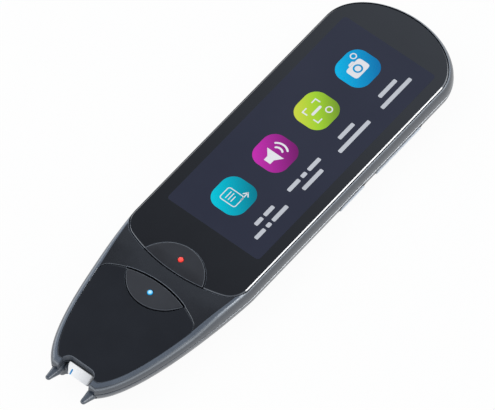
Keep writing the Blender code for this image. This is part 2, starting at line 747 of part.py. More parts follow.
def socket_tool(name):
    """Way for the charging plug and its socket through the far end wall."""
    low_y = FAR_END_Y - SOCKET_SETBACK - SOCKET_LENGTH - SEAT_GAP
    return prism(name, socket_outline(SEAT_GAP), low_y, FAR_END_Y + CUT_OVERRUN, None, "Y")


def at_sides(x):
    return (-x, x)


def case_screw_places():
    return [(x, CASE_SCREW_Y) for x in at_sides(CASE_SCREW_X)]


def board_screw_places():
    return [(x, y) for y in (BOARD_SCREW_LOW_Y, BOARD_SCREW_HIGH_Y) for x in at_sides(BOARD_SCREW_X)]


def rods(name, places, radius, low, high):
    """Plain upright round bars, which a piece gains or loses together."""
    bars = []
    for number, (x, y) in enumerate(places):
        low_z = low(x, y) if callable(low) else low
        profile = [(radius, 0), (radius, high - low_z)]
        place = (x, y, low_z)
        bars.append(turned(f"{name}_{number}", profile, place, "Z", None, SMALL_ROUND_STEPS))
    return joined_shapes(name, bars)


def build_front_frame(material):
    """Upper moulding: deck under the glass, waist band and nose rim."""
    def ceiling(x, y):
        return NOSE_CEILING_Z if y < PLATE_HIGH_Y + SEAT_GAP else DECK_LOW_Z

    rings = [
        ring_at(body_outline(FRAME_WALL), ceiling),
        ring_at(body_outline(FRAME_WALL), LIP_LOW_Z),
        ring_at(body_outline(LIP_INSET), LIP_LOW_Z),
        ring_at(body_outline(LIP_INSET), FRAME_LOW_Z),
        ring_at(body_outline(0), FRAME_LOW_Z),
    ]
    for step in range(ROLL_STEPS + 1):
        angle = math.pi / 2 * step / ROLL_STEPS
        inset = EDGE_ROLL * (1 - math.cos(angle))
        lift = math.sin(angle)

        def skin(x, y):
            return SIDE_Z + (top_height(HALF_WIDTH, y) - SIDE_Z) * lift

        rings.append(ring_at(body_outline(inset), skin))
    frame = loft("front_frame", rings, material, top_height)
    boss_low = CASE_JOINT_Z + SEAT_GAP
    boss_high = PLATE_FLOOR_Z - FINE_GAP
    join(frame, rods("case_boss_tool", case_screw_places(), POST_RADIUS, boss_low, boss_high))
    pocket = whole_outline(select_outline(-POCKET_GROWTH))
    head_radius = SCREW_HEAD_RADIUS + FINE_GAP
    shaft_radius = SCREW_RADIUS + FINE_GAP
    cut(
        frame,
        glass_seat_tool(),
        window_tool(),
        prism("plate_seat_tool", whole_outline(plate_outline(-SEAT_GAP)), PLATE_FLOOR_Z, ABOVE_Z),
        prism("home_hole_tool", whole_outline(home_outline(-SEAT_GAP)), DECK_LOW_Z - CUT_OVERRUN, ABOVE_Z),
        prism("select_hole_tool", whole_outline(select_outline(-SEAT_GAP)), LIP_LOW_Z, ABOVE_Z),
        prism("home_pocket_tool", whole_outline(home_outline(-POCKET_GROWTH)), LIP_LOW_Z, DECK_LOW_Z),
        prism("select_pocket_tool", pocket, LIP_LOW_Z, NOSE_CEILING_Z),
        notch_tool("frame_notch_tool"),
        prong_hole_tools("frame_prong_tool"),
        socket_tool("frame_socket_tool"),
        rods("case_head_tool", case_screw_places(), head_radius, CASE_HEAD_Z - FINE_GAP, ABOVE_Z),
        rods("case_shaft_tool", case_screw_places(), shaft_radius, CASE_JOINT_Z, ABOVE_Z),
    )
    return frame


def glass_seat_tool():
    """All that stands above the deck, down to the waist band's upper edge."""
    lower_half = glass_outline(-SEAT_GAP)[: 2 * ARC_STEPS + 1]
    wide = HALF_WIDTH + CUT_OVERRUN
    side_y = lower_half[-1][1] + SEAT_GAP
    half = lower_half + [(wide, side_y), (wide, FAR_END_Y + CUT_OVERRUN)]
    return prism("glass_seat_tool", whole_outline(half), DECK_TOP_Z, ABOVE_Z)


def window_tool():
    """Window in the deck that the display module stands in."""
    half = DISPLAY_WIDTH / 2 + SEAT_GAP
    low = (-DISPLAY_SHIFT - half, DISPLAY_NEAR_Y - SEAT_GAP, DECK_LOW_Z - CUT_OVERRUN)
    high = (-DISPLAY_SHIFT + half, DISPLAY_FAR_Y + SEAT_GAP, ABOVE_Z)
    return box("display_window_tool", low, high)


def build_rear_cover(material):
    """Lower moulding: a rounded tray with a flat back and a rising nose."""
    rings = []
    for step in range(BACK_STEPS, -1, -1):
        angle = math.pi / 2 * step / BACK_STEPS
        drawn_in = 1 - math.cos(angle)

        def outer(x, y):
            return PART_LINE_Z - (PART_LINE_Z - back_height(y)) * math.sin(angle)

        rings.append(ring_at(body_outline(BACK_ROLL * drawn_in, BACK_TIP_ROLL * drawn_in), outer))
    for step in range(INNER_STEPS + 1):
        angle = math.pi / 2 * step / INNER_STEPS
        drawn_in = 1 - math.cos(angle)

        def inner(x, y):
            return PART_LINE_Z - (PART_LINE_Z - back_height(y) - FLOOR_Z) * math.sin(angle)

        inset = SHELL_WALL + BACK_INNER_ROLL * drawn_in
        tip_inset = SHELL_WALL + BACK_INNER_TIP_ROLL * drawn_in
        rings.append(ring_at(body_outline(inset, tip_inset), inner))
    cover = loft("rear_cover", rings, material)

    def in_floor(x, y):
        return back_height(y) + FLOOR_Z / 2

    join(
        cover,
        rods("board_post_tool", board_screw_places(), POST_RADIUS, in_floor, BOARD_LOW_Z - SEAT_GAP),
        rods("case_post_tool", case_screw_places(), POST_RADIUS, in_floor, CASE_JOINT_Z),
    )
    shaft_radius = SCREW_RADIUS + FINE_GAP
    seat_radius = WINDOW_RADIUS + FINE_GAP
    way_radius = WINDOW_RADIUS - WINDOW_LEDGE
    camera_place = [(0, CAMERA_Y)]
    cut(
        cover,
        notch_tool("cover_notch_tool"),
        prong_hole_tools("cover_prong_tool"),
        socket_tool("cover_socket_tool"),
        side_key("rocker_window_tool", ROCKER_Y, ROCKER_LENGTH, None, SEAT_GAP),
        side_key("power_window_tool", POWER_Y, POWER_LENGTH, None, SEAT_GAP),
        rods("board_hole_tool", board_screw_places(), shaft_radius, BOARD_SCREW_TIP_Z, BOARD_LOW_Z),
        rods("case_hole_tool", case_screw_places(), shaft_radius, CASE_SCREW_TIP_Z, PART_LINE_Z),
        speaker_slot_tools(),
        rods("camera_seat_tool", camera_place, seat_radius, -CUT_OVERRUN, WINDOW_LEDGE_Z),
        rods("camera_way_tool", camera_place, way_radius, -CUT_OVERRUN, FLOOR_Z + CUT_OVERRUN),
        rods("pinhole_tool", microphone_places(), PINHOLE_RADIUS, -CUT_OVERRUN, BOARD_LOW_Z),
    )
    return cover


def microphone_places():
    return [(x, MICROPHONE_Y) for x in at_sides(MICROPHONE_X)]


def speaker_slot_tools():
    """Row of round-ended sound slots through the back."""
    slots = []
    for number in range(SLOT_COUNT):
        x = (number - (SLOT_COUNT - 1) / 2) * SLOT_PITCH
        outline = rounded_rectangle(x, SPEAKER_Y, SLOT_WIDTH, SLOT_LENGTH, SLOT_WIDTH / 2 - SLOT_FLAT)
        slots.append(prism(f"slot_{number}", outline, -CUT_OVERRUN, FLOOR_Z + CUT_OVERRUN))
    return joined_shapes("speaker_slot_tool", slots)


def side_key(name, y, length, material, gap=0.0):
    """A key that follows the cover's curve, or the window that it moves in."""
    bm = bmesh.new()
    end = KEY_END_RADIUS
    stations = [0, end * KEY_END_SHARES[0], end * KEY_END_SHARES[1], end]
    stations += [length - station for station in reversed(stations)]
    rings = []
    for station in stations:
        from_end = min(station, length - station, end)
        half = KEY_HEIGHT / 2 - end + math.sqrt(end ** 2 - (end - from_end) ** 2) + gap
        at = y - length / 2 - gap + station * (length + 2 * gap) / length
        raised = KEY_RAISE + (CUT_OVERRUN if gap else 0)
        edge = 0 if gap else KEY_EDGE
        ring = [(KEY_BACK_X - gap, KEY_Z + half), (KEY_BACK_X - gap, KEY_Z - half)]
        for step in range(KEY_FACE_STEPS + 1):
            z = KEY_Z - half + 2 * half * step / KEY_FACE_STEPS
            outermost = 0 < step < KEY_FACE_STEPS
            ring.append((cover_side_x(z) + raised - (0 if outermost else edge), z))
        rings.append([bm.verts.new((x, at, z)) for x, z in ring])
    for low, high in zip(rings, rings[1:]):
        for step in range(len(low)):
            after = (step + 1) % len(low)
            bm.faces.new([low[step], low[after], high[after], high[step]])
    bm.faces.new(rings[0][::-1])
    bm.faces.new(rings[-1])
    bmesh.ops.recalc_face_normals(bm, faces=bm.faces)
    bmesh.ops.triangulate(bm, faces=bm.faces)
    return add_object(name, bm, material)


def build_side_key(name, y, length, material):
    """A side key with the flange that holds it behind the cover's wall."""
    key = side_key(name, y, length, material)
    reach = length / 2 + KEY_FLANGE_REACH
    flange_z = KEY_HEIGHT / 2 - KEY_EDGE
    low = (KEY_BACK_X - KEY_FLANGE, y - reach, KEY_Z - flange_z)
    high = (KEY_BACK_X + FINE_GAP, y + reach, KEY_Z + flange_z)
    join(key, box(f"{name}_flange_tool", low, high))
    set_origin(key, (KEY_BACK_X, y, KEY_Z))
    return key


def set_origin(built, place):
    """Move an object's origin to its joint without moving its shape."""
    built.data.transform(Matrix.Translation([-value for value in place]))
    built.location = place


def edged_rings(outline, low, high, edge):
    """Upright sides whose top edge is rounded in two steps."""
    return [
        ring_at(outline(0), low),
        ring_at(outline(0), high - edge),
        ring_at(outline(edge * EDGE_SHARE), high - edge * EDGE_SHARE),
        ring_at(outline(edge), high),
    ]


def build_cover_glass(material):
    """Cover glass with a polished edge, cut away for the upper button."""
    rings = edged_rings(glass_outline, GLASS_TOP_Z - GLASS_THICKNESS, GLASS_TOP_Z, GLASS_EDGE)
    glass = loft("cover_glass", rings, material)
    cut(glass, prism("glass_hole_tool", whole_outline(home_outline(-SEAT_GAP)), DECK_LOW_Z, ABOVE_Z))
    return glass


def build_nose_plate(material):
    """Crowned plate over the nose, open for the lower button and the tip."""
    def skin(x, y):
        return top_height(x, y) - PLATE_SINK

    def under_skin(x, y):
        return skin(x, y) - PLATE_BEVEL

    rings = [
        ring_at(plate_outline(0), PLATE_LOW_Z),
        ring_at(plate_outline(0), under_skin),
        ring_at(plate_outline(PLATE_BEVEL), skin),
    ]
    plate = loft("nose_plate", rings, material, skin)
    cut(
        plate,
        prism("plate_hole_tool", whole_outline(select_outline(-SEAT_GAP)), NOSE_CEILING_Z, ABOVE_Z),
        notch_tool("plate_notch_tool"),
    )
    return plate


def build_button(name, outline, flange_top, light_y, material):
    """A front button: raised segment, stem and the flange that keeps it in."""
    flange_low = flange_top - FLANGE_THICKNESS
    wide = outline(-FLANGE_OVERHANG)
    rings = [ring_at(wide, flange_low), ring_at(wide, flange_top)]
    rings += edged_rings(outline, flange_top, BUTTON_TOP_Z, BUTTON_EDGE)
    button = loft(name, rings, material)
    radius = LIGHT_RADIUS + FINE_GAP
    cut(button, rods(f"{name}_light_tool", [(0, light_y)], radius, flange_low - CUT_OVERRUN, ABOVE_Z))
    set_origin(button, (0, light_y, flange_low))
    return button


def build_button_light(name, flange_top, light_y, material):
    """Clear light pipe that shows as a dot in a button."""
    low_z = flange_top - FLANGE_THICKNESS
    length = BUTTON_TOP_Z - low_z
    edge = LIGHT_RADIUS * LIGHT_EDGE_SHARE
    profile = [(LIGHT_RADIUS, 0), (LIGHT_RADIUS, length), (LIGHT_RADIUS - edge, length + edge / 2)]
    return turned(name, profile, (0, light_y, low_z), "Z", material, SMALL_ROUND_STEPS)


def build_front_switch(name, flange_top, y, material):
    """Click switch on the board, beside the light of a front button."""
    top = flange_top - FLANGE_THICKNESS - BUTTON_TRAVEL - FINE_GAP
    low = (SWITCH_OFFSET - SWITCH_WIDTH / 2, y - SWITCH_WIDTH / 2, BOARD_SEAT_Z)
    high = (SWITCH_OFFSET + SWITCH_WIDTH / 2, y + SWITCH_WIDTH / 2, top)
    return box(name, low, high, material)


def build_button_lamp(name, y, material):
    """Light chip on the board, under a front button's light pipe."""
    half = LIGHT_CHIP_WIDTH / 2
    low_z = BOARD_SEAT_Z
    return box(name, (-half, y - half, low_z), (half, y + half, low_z + LIGHT_CHIP_HEIGHT), material)


def build_display(material):
    """Display module, bonded under the glass in the deck's window."""
    low = (-DISPLAY_SHIFT - DISPLAY_WIDTH / 2, DISPLAY_NEAR_Y, DISPLAY_LOW_Z)
    high = (-DISPLAY_SHIFT + DISPLAY_WIDTH / 2, DISPLAY_FAR_Y, DECK_TOP_Z)
    return box("display_module", low, high, material, DISPLAY_EDGE)


def build_prong(name, x, back_y):
    """A round prong that tapers and rises a little outside the body."""
    length = back_y - NIB_TIP_Y
    straight = length - NIB_REACH
    tip = PRONG_TIP_RADIUS
    stations = [(0, PRONG_RADIUS), (straight, PRONG_RADIUS)]
    for step in range(TIP_STEPS):
        angle = math.pi / 2 * step / TIP_STEPS
        stations.append((length - tip + tip * math.sin(angle), tip * math.cos(angle)))
    stations.append((length, tip * TIP_FLAT_SHARE))
    bm = bmesh.new()
    rings = []
    for along, radius in stations:
        z = PRONG_Z + PRONG_LIFT * max(0, along - straight) / NIB_REACH
        ring = []
        for step in range(SMALL_ROUND_STEPS):
            angle = 2 * math.pi * step / SMALL_ROUND_STEPS
            place = (x + radius * math.cos(angle), back_y - along, z + radius * math.sin(angle))
            ring.append(bm.verts.new(place))
        rings.append(ring)
    for low, high in zip(rings, rings[1:]):
        for step in range(SMALL_ROUND_STEPS):
            after = (step + 1) % SMALL_ROUND_STEPS
            bm.faces.new([low[step], low[after], high[after], high[step]])
    bm.faces.new(rings[0][::-1])
    bm.faces.new(rings[-1])
    bmesh.ops.recalc_face_normals(bm, faces=bm.faces)
    return add_object(name, bm, None)


def build_nib_fork(material):
    """Two tapered prongs on arms, joined by a bridge that works the switch."""
    back_y = BODY_TIP_Y + FRAME_WALL + SEAT_GAP
    prongs = [build_prong(f"prong_{side}", side * PRONG_X, back_y) for side in (-1, 1)]
    fork = joined_shapes("nib_fork", prongs, material)
    half_height = ARM_HEIGHT / 2
    arms = []
    for side in (-1, 1):
        x = side * PRONG_X
        low = (x - ARM_WIDTH / 2, back_y - ARM_WIDTH / 2, PRONG_Z - half_height)
        high = (x + ARM_WIDTH / 2, ARM_BACK_Y, PRONG_Z + half_height)
        arms.append(box(f"arm_{side}", low, high))
    reach = PRONG_X + ARM_WIDTH / 2 - FINE_GAP
    low = (-reach, ARM_BACK_Y - BRIDGE_WIDTH, PRONG_Z - half_height + FINE_GAP)
    bridge = box("fork_bridge_tool", low, (reach, ARM_BACK_Y - FINE_GAP, PRONG_Z + half_height - FINE_GAP))
    join(fork, joined_shapes("fork_arm_tool", arms), bridge)
    set_origin(fork, (0, ARM_BACK_Y, PRONG_Z))
    return fork


def build_nib_switch(material):
    """Switch on the board's edge, worked by the fork's bridge."""
    low_z = BOARD_SEAT_Z
    low = (-NIB_SWITCH_WIDTH / 2, NIB_SWITCH_Y, low_z)
    high = (NIB_SWITCH_WIDTH / 2, NIB_SWITCH_Y + NIB_SWITCH_LENGTH, low_z + NIB_SWITCH_HEIGHT)
    return box("nib_switch", low, high, material)


def floor_height(y):
    """Top of the rear cover's floor, with the gap that a piece keeps to it."""
    return back_height(y) + FLOOR_Z + SEAT_GAP


def build_light_shroud(material):
    """White hood that lights the line ahead of the lens: a duct under the
    nose and, in the tip's opening, a raised cap with an undercut mouth."""
    front_y = SHROUD_FRONT_Y
    low = floor_height(front_y)
    top = NOSE_CEILING_Z - SEAT_GAP
    cap_top = top + SHROUD_CAP_RAISE
    lip_top = cap_top - SHROUD_LIP_FALL
    bm = bmesh.new()

    def section(y, half, top_z, wall, chin=0.0):
        half -= wall
        verts = []
        for x, z in ((-half, low + wall), (half, low + wall), (half, top_z - wall), (-half, top_z - wall)):
            undercut = chin * (top_z - z) / (top_z - low)
            verts.append(bm.verts.new((x, y + undercut, z)))
        return verts

    def sections(wall):
        cap_y = SHROUD_CAP_Y - wall
        return [
            section(SHROUD_BACK_Y, SHROUD_BACK_WIDTH / 2, top, wall),
            section(cap_y, SHROUD_WIDTH / 2, top, wall),
            section(cap_y - SHROUD_CAP_RUN, SHROUD_WIDTH / 2, cap_top, wall),
            section(front_y, SHROUD_WIDTH / 2, lip_top, wall, SHROUD_CHIN),
        ]

    loops = sections(0) + sections(SHROUD_WALL)[::-1]
    for number, loop in enumerate(loops):
        following = loops[(number + 1) % len(loops)]
        for step in range(4):
            after = (step + 1) % 4
            bm.faces.new([loop[step], loop[after], following[after], following[step]])
    bmesh.ops.recalc_face_normals(bm, faces=bm.faces)
    bmesh.ops.triangulate(bm, faces=bm.faces)
    shroud = add_object("light_shroud", bm, material)
    corner = (-SHROUD_WIDTH / 2, front_y)
    outline = [
        (corner[0] - CUT_OVERRUN, corner[1] - CUT_OVERRUN),
        (corner[0] + SHROUD_CORNER_CUT, corner[1] - CUT_OVERRUN),
        (corner[0] + SHROUD_CORNER_CUT, corner[1]),
        (corner[0], corner[1] + SHROUD_CORNER_RUN),
        (corner[0] - CUT_OVERRUN, corner[1] + SHROUD_CORNER_RUN),
    ]
    cut(shroud, prism("shroud_corner_tool", outline, 0, GLASS_TOP_Z))
    return shroud


def scan_board_top():
    return floor_height(LENS_Y) + SCAN_BOARD_THICKNESS


def lens_height():
    """Height of the lens, midway between its board and the nose's ceiling."""
    return (scan_board_top() + NOSE_CEILING_Z) / 2


def build_scan_lens(material):
    """Lens barrel that looks out through the shroud, with a recessed glass."""
    profile = [
        (LENS_RADIUS, 0),
        (LENS_RADIUS, LENS_LENGTH),
        (LENS_GLASS_RADIUS, LENS_LENGTH),
        (LENS_GLASS_RADIUS, LENS_LENGTH - LENS_GLASS_DEPTH),
    ]
    return turned("scan_lens", profile, (0, LENS_Y + LENS_LENGTH, lens_height()), "-Y", material)


def build_scan_camera(material):
    half = SCAN_CAMERA_WIDTH / 2
    low = (-half, SCAN_CAMERA_BACK_Y - SCAN_CAMERA_LENGTH, scan_board_top() + SCAN_CLEARANCE)
    high = (half, SCAN_CAMERA_BACK_Y, NOSE_CEILING_Z - SCAN_CLEARANCE)
    return box("scan_camera", low, high, material, SMALL_EDGE)


def build_scan_board(material):
    low = (-SCAN_BOARD_WIDTH / 2, LENS_Y, floor_height(LENS_Y))
    high = (SCAN_BOARD_WIDTH / 2, LENS_Y + SCAN_BOARD_LENGTH, scan_board_top())
    return box("scan_board", low, high, material)


def build_scan_lamp(name, x, material):
    """Lamp beside the lens, standing on the scan board."""
    low_z = scan_board_top() + SEAT_GAP
    low = (x - LAMP_WIDTH / 2, LENS_Y + SEAT_GAP, low_z)
    high = (x + LAMP_WIDTH / 2, LENS_Y + SEAT_GAP + LAMP_WIDTH, low_z + LAMP_HEIGHT)
    return box(name, low, high, material)


def build_main_board(material):
    """Long circuit board on the rear cover's posts."""
    half = BOARD_WIDTH / 2
    right = [
        (half, BOARD_LOW_Y),
        (half, BOARD_HIGH_Y - BOARD_CORNER),
        (half - BOARD_CORNER, BOARD_HIGH_Y),
    ]
    board = prism("main_board", whole_outline(right), BOARD_LOW_Z, BOARD_TOP_Z, material)
    radius = SCREW_RADIUS + FINE_GAP
    cut(board, rods("board_way_tool", board_screw_places(), radius, BOARD_LOW_Z - CUT_OVERRUN, PART_LINE_Z))
    return board


def build_module(name, y, width, length, clearance, material):
    """Can on the main board's middle line, kept clear of the display."""
    low = (-width / 2, y - length / 2, BOARD_SEAT_Z)
    high = (width / 2, y + length / 2, DISPLAY_LOW_Z - clearance)
    return box(name, low, high, material, SMALL_EDGE)


def build_battery(material):
    low = (-BATTERY_HALF_WIDTH, BATTERY_NEAR_Y, FLOOR_Z + SEAT_GAP)
    high = (BATTERY_HALF_WIDTH, BATTERY_FAR_Y, BOARD_LOW_Z - BOARD_UNDER_GAP)
    return box("battery", low, high, material, BATTERY_EDGE)


def build_speaker_mesh(material):
    low_z = FLOOR_Z + SEAT_GAP
    outline = rounded_rectangle(0, SPEAKER_Y, MESH_WIDTH, MESH_LENGTH, MESH_CORNER)
    return prism("speaker_mesh", outline, low_z, low_z + MESH_THICKNESS, material)


def build_speaker(material):
    low_z = FLOOR_Z + 2 * SEAT_GAP + MESH_THICKNESS
    low = (-SPEAKER_WIDTH / 2, SPEAKER_Y - SPEAKER_LENGTH / 2, low_z)
    high = (SPEAKER_WIDTH / 2, SPEAKER_Y + SPEAKER_LENGTH / 2, BOARD_LOW_Z - BOARD_UNDER_GAP)
    return box("speaker", low, high, material, SPEAKER_EDGE)


def build_rear_camera(material):
    half = CAMERA_WIDTH / 2
    low = (-half, CAMERA_Y - half, FLOOR_Z + SEAT_GAP)
    high = (half, CAMERA_Y + half, BOARD_LOW_Z - SEAT_GAP)
    return box("rear_camera", low, high, material, SMALL_EDGE)


def build_camera_window(material):
    profile = [(WINDOW_RADIUS, 0), (WINDOW_RADIUS, WINDOW_THICKNESS)]
    place = (0, CAMERA_Y, WINDOW_SINK)
    return turned("rear_camera_window", profile, place, "Z", material, SMALL_ROUND_STEPS)


def build_socket(material):
    """Charging socket: a round-ended shell with its contact tongue."""
    high_y = FAR_END_Y - SOCKET_SETBACK
    low_y = high_y - SOCKET_LENGTH
    middle_z = BOARD_SEAT_Z + SOCKET_HEIGHT / 2
    socket = prism("charging_socket", socket_outline(), low_y, high_y, material, "Y")
    mouth = socket_outline(-SOCKET_WALL)
    cut(socket, prism("socket_mouth_tool", mouth, low_y + SOCKET_BACK, high_y + CUT_OVERRUN, None, "Y"))
    half_height = TONGUE_HEIGHT / 2
    low = (-TONGUE_WIDTH / 2, low_y + SOCKET_BACK / 2, middle_z - half_height)
    high = (TONGUE_WIDTH / 2, high_y - TONGUE_SETBACK, middle_z + half_height)
    join(socket, box("socket_tongue_tool", low, high))
    return socket


def build_microphone(name, x, y, material):
    """Microphone on the board's underside, over its pinhole."""
    half = MICROPHONE_WIDTH / 2
    high_z = BOARD_LOW_Z - SEAT_GAP
    low = (x - half, y - half, high_z - MICROPHONE_HEIGHT)
    return box(name, low, (x + half, y + half, high_z), material)


def build_side_board(material):
    low_y = POWER_Y - SIDE_SWITCH_WIDTH / 2 - SIDE_BOARD_MARGIN
    high_y = ROCKER_Y + ROCKER_SWITCH_REACH + SIDE_SWITCH_WIDTH / 2 + SIDE_BOARD_MARGIN
    low = (SIDE_BOARD_X - SIDE_BOARD_THICKNESS, low_y, KEY_Z - KEY_HEIGHT / 2)
    return box("side_key_board", low, (SIDE_BOARD_X, high_y, KEY_Z + KEY_HEIGHT / 2), material)


def build_side_switch(name, y, material):
    """Small switch on the side board, behind a side key."""
    half = SIDE_SWITCH_WIDTH / 2
    half_height = SIDE_SWITCH_HEIGHT / 2
    low = (SIDE_SWITCH_X - SIDE_SWITCH_DEPTH, y - half, KEY_Z - half_height)
    return box(name, low, (SIDE_SWITCH_X, y + half, KEY_Z + half_height), material)


def build_screws(name, places, head_z, tip_z, material):
    """Pan-head screws with a round drive socket."""
    reach = head_z - tip_z
    top = reach + SCREW_HEAD_HEIGHT
    profile = [
        (SCREW_RADIUS, 0),
        (SCREW_RADIUS, reach),
        (SCREW_HEAD_RADIUS, reach),
        (SCREW_HEAD_RADIUS, top),
        (DRIVE_RADIUS, top),
        (DRIVE_RADIUS, top - DRIVE_DEPTH),
    ]
    for number, (x, y) in enumerate(places, start=1):
        turned(f"{name}_{number}", profile, (x, y, tip_z), "Z", material, SMALL_ROUND_STEPS)


def main():
    for old in list(bpy.data.objects):
        bpy.data.objects.remove(old)
    shell_grey = colour_material("shell_plastic", (0.09, 0.1, 0.12), 0.4)
    cover_grey = colour_material("cover_plastic", (0.2, 0.21, 0.24), 0.45)
    button_black = colour_material("button_plastic", (0.035, 0.038, 0.045), 0.35)
    key_silver = colour_material("key_metal", (0.6, 0.62, 0.66), 0.3, 1.0)
    circuit_green = colour_material("circuit_board", (0.02, 0.12, 0.06), 0.5)
    switch_black = colour_material("switch_plastic", (0.03, 0.03, 0.03), 0.5)
    steel = colour_material("steel", (0.55, 0.55, 0.57), 0.35, 1.0)

    build_front_frame(shell_grey)
    build_rear_cover(cover_grey)
    build_cover_glass(colour_material("cover_glass", (0.02, 0.021, 0.025), 0.05))
    build_nose_plate(colour_material("gloss_black", (0.02, 0.021, 0.025), 0.1))
    build_display(colour_material("display", (0.03, 0.035, 0.06), 0.3))
    build_button("home_button", home_outline, HOME_FLANGE_Z, HOME_LIGHT_Y, button_black)
    build_button("select_button", select_outline, SELECT_FLANGE_Z, SELECT_LIGHT_Y, button_black)
    red_light = colour_material("red_light", (0.9, 0.07, 0.05), 0.3)
    blue_light = colour_material("blue_light", (0.01, 0.4, 0.8), 0.3)
    build_button_light("home_button_light", HOME_FLANGE_Z, HOME_LIGHT_Y, red_light)
    build_button_light("select_button_light", SELECT_FLANGE_Z, SELECT_LIGHT_Y, blue_light)
    lamp_white = colour_material("lamp_resin", (0.85, 0.85, 0.75), 0.3)
    build_front_switch("home_switch", HOME_FLANGE_Z, HOME_LIGHT_Y, switch_black)
    build_front_switch("select_switch", SELECT_FLANGE_Z, SELECT_LIGHT_Y, switch_black)
    build_button_lamp("home_lamp", HOME_LIGHT_Y, lamp_white)
    build_button_lamp("select_lamp", SELECT_LIGHT_Y, lamp_white)
    build_side_key("volume_rocker", ROCKER_Y, ROCKER_LENGTH, key_silver)
    build_side_key("power_button", POWER_Y, POWER_LENGTH, key_silver)
    build_side_board(circuit_green)
    build_side_switch("power_switch", POWER_Y, switch_black)
    build_side_switch("volume_down_switch", ROCKER_Y - ROCKER_SWITCH_REACH, switch_black)
    build_side_switch("volume_up_switch", ROCKER_Y + ROCKER_SWITCH_REACH, switch_black)
    build_nib_fork(colour_material("nib_plastic", (0.06, 0.075, 0.09), 0.3))
    build_nib_switch(switch_black)
    build_light_shroud(colour_material("white_plastic", (0.85, 0.86, 0.87), 0.3))
    build_scan_lens(colour_material("lens_barrel", (0.02, 0.02, 0.02), 0.4))
    build_scan_camera(steel)
    build_scan_board(circuit_green)
    for number, x in enumerate(at_sides(LAMP_X), start=1):
        build_scan_lamp(f"scan_lamp_{number}", x, lamp_white)
    build_main_board(circuit_green)
    build_module("processor_shield", SHIELD_Y, SHIELD_SIZE, SHIELD_SIZE, SHIELD_CLEARANCE, steel)
    build_module("radio_module", RADIO_Y, RADIO_WIDTH, RADIO_LENGTH, RADIO_CLEARANCE, steel)
    build_battery(colour_material("battery_wrap", (0.3, 0.32, 0.35), 0.4))
    build_speaker(switch_black)
    build_speaker_mesh(colour_material("mesh_steel", (0.25, 0.25, 0.27), 0.5, 1.0))
    build_rear_camera(switch_black)
    build_camera_window(colour_material("window_glass", (0.015, 0.015, 0.02), 0.05))
    build_socket(steel)
    can_brass = colour_material("microphone_can", (0.6, 0.55, 0.4), 0.35, 1.0)
    for number, (x, y) in enumerate(microphone_places(), start=1):
        build_microphone(f"microphone_{number}", x, y, can_brass)
    build_screws("case_screw", case_screw_places(), CASE_HEAD_Z, CASE_SCREW_TIP_Z + FINE_GAP, steel)
    build_screws("board_screw", board_screw_places(), BOARD_SEAT_Z, BOARD_SCREW_TIP_Z + FINE_GAP, steel)


main()
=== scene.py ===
import json
import math

import bmesh
import bpy
from mathutils import Matrix, Vector


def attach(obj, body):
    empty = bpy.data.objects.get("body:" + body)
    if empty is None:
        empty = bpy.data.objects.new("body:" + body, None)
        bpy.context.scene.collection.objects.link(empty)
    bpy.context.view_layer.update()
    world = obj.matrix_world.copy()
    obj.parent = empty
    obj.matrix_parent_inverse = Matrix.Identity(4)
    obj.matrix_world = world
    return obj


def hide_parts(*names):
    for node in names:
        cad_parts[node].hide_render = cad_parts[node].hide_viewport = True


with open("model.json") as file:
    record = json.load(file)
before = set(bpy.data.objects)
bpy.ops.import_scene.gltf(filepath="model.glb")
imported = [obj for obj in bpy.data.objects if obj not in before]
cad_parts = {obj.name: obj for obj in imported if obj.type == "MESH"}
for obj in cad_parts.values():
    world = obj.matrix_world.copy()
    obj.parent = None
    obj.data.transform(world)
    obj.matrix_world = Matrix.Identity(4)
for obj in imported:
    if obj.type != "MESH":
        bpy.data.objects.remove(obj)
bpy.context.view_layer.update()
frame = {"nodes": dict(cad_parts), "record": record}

scene = bpy.context.scene
MM = 0.001
MICRON = 0.001 * MM

# Sizes shared with the solids
SEAT_GAP = 0.3 * MM
FINE_GAP = 0.15 * MM
OVERRUN = 1.0 * MM
HALF_WIDTH = 22.1 * MM
FAR_END_Y = 78.3 * MM
NIB_TIP_Y = -78.3 * MM
BODY_TIP_Y = -74.3 * MM
END_LENGTH = 15.4 * MM
END_Y = FAR_END_Y - END_LENGTH
NOSE_START_Y = -22.0 * MM
NOSE_REACH = 54.4 * MM
NOSE_POWER = 1.2
NOSE_ROUNDNESS = 3.0
GLASS_TOP_Z = 12.5 * MM
PART_LINE_Z = 8.2 * MM
FRAME_LOW_Z = 8.5 * MM
SIDE_Z = 9.0 * MM
SHELL_WALL = 1.5 * MM
EDGE_ROLL = 1.65 * MM
NOSE_ROLL = 2.3 * MM
NOSE_ROLL_RUN = 20.0 * MM
BACK_ROLL = 11.0 * MM
BACK_TIP_ROLL = 3.4 * MM
NOSE_RISE = 2.6 * MM
NOSE_RISE_LENGTH = 34.0 * MM
NOSE_RISE_POWER = 1.6
LIP_INSET = 1.8 * MM
LIP_LOW_Z = 7.5 * MM
FRAME_WALL = 2.5 * MM
DECK_TOP_Z = 11.4 * MM
DECK_LOW_Z = 10.2 * MM
GLASS_THICKNESS = 0.8 * MM
GLASS_HALF_WIDTH = 21.0 * MM
GLASS_END_LENGTH = 14.4 * MM
GLASS_END_Y = 62.4 * MM
GLASS_EDGE = 0.3 * MM
GLASS_EDGE_TURN = 4.0
GLASS_SAG_RADIUS = 52.5 * MM
GLASS_CORNER = 6.5 * MM
BUTTON_RADIUS = 11.2 * MM
WAIST_Y = -34.0 * MM
WAIST_WIDTH = 4.9 * MM
GLASS_LOW_Y = WAIST_Y + WAIST_WIDTH / 2
PLATE_HIGH_Y = WAIST_Y - WAIST_WIDTH / 2
BUTTON_TOP_Z = 13.1 * MM
SELECT_FACE_Z = 12.55 * MM
SELECT_PROUD = 0.1 * MM
SELECT_TILT = 0.24 * MM
SELECT_TILT_RUN = 4.6 * MM
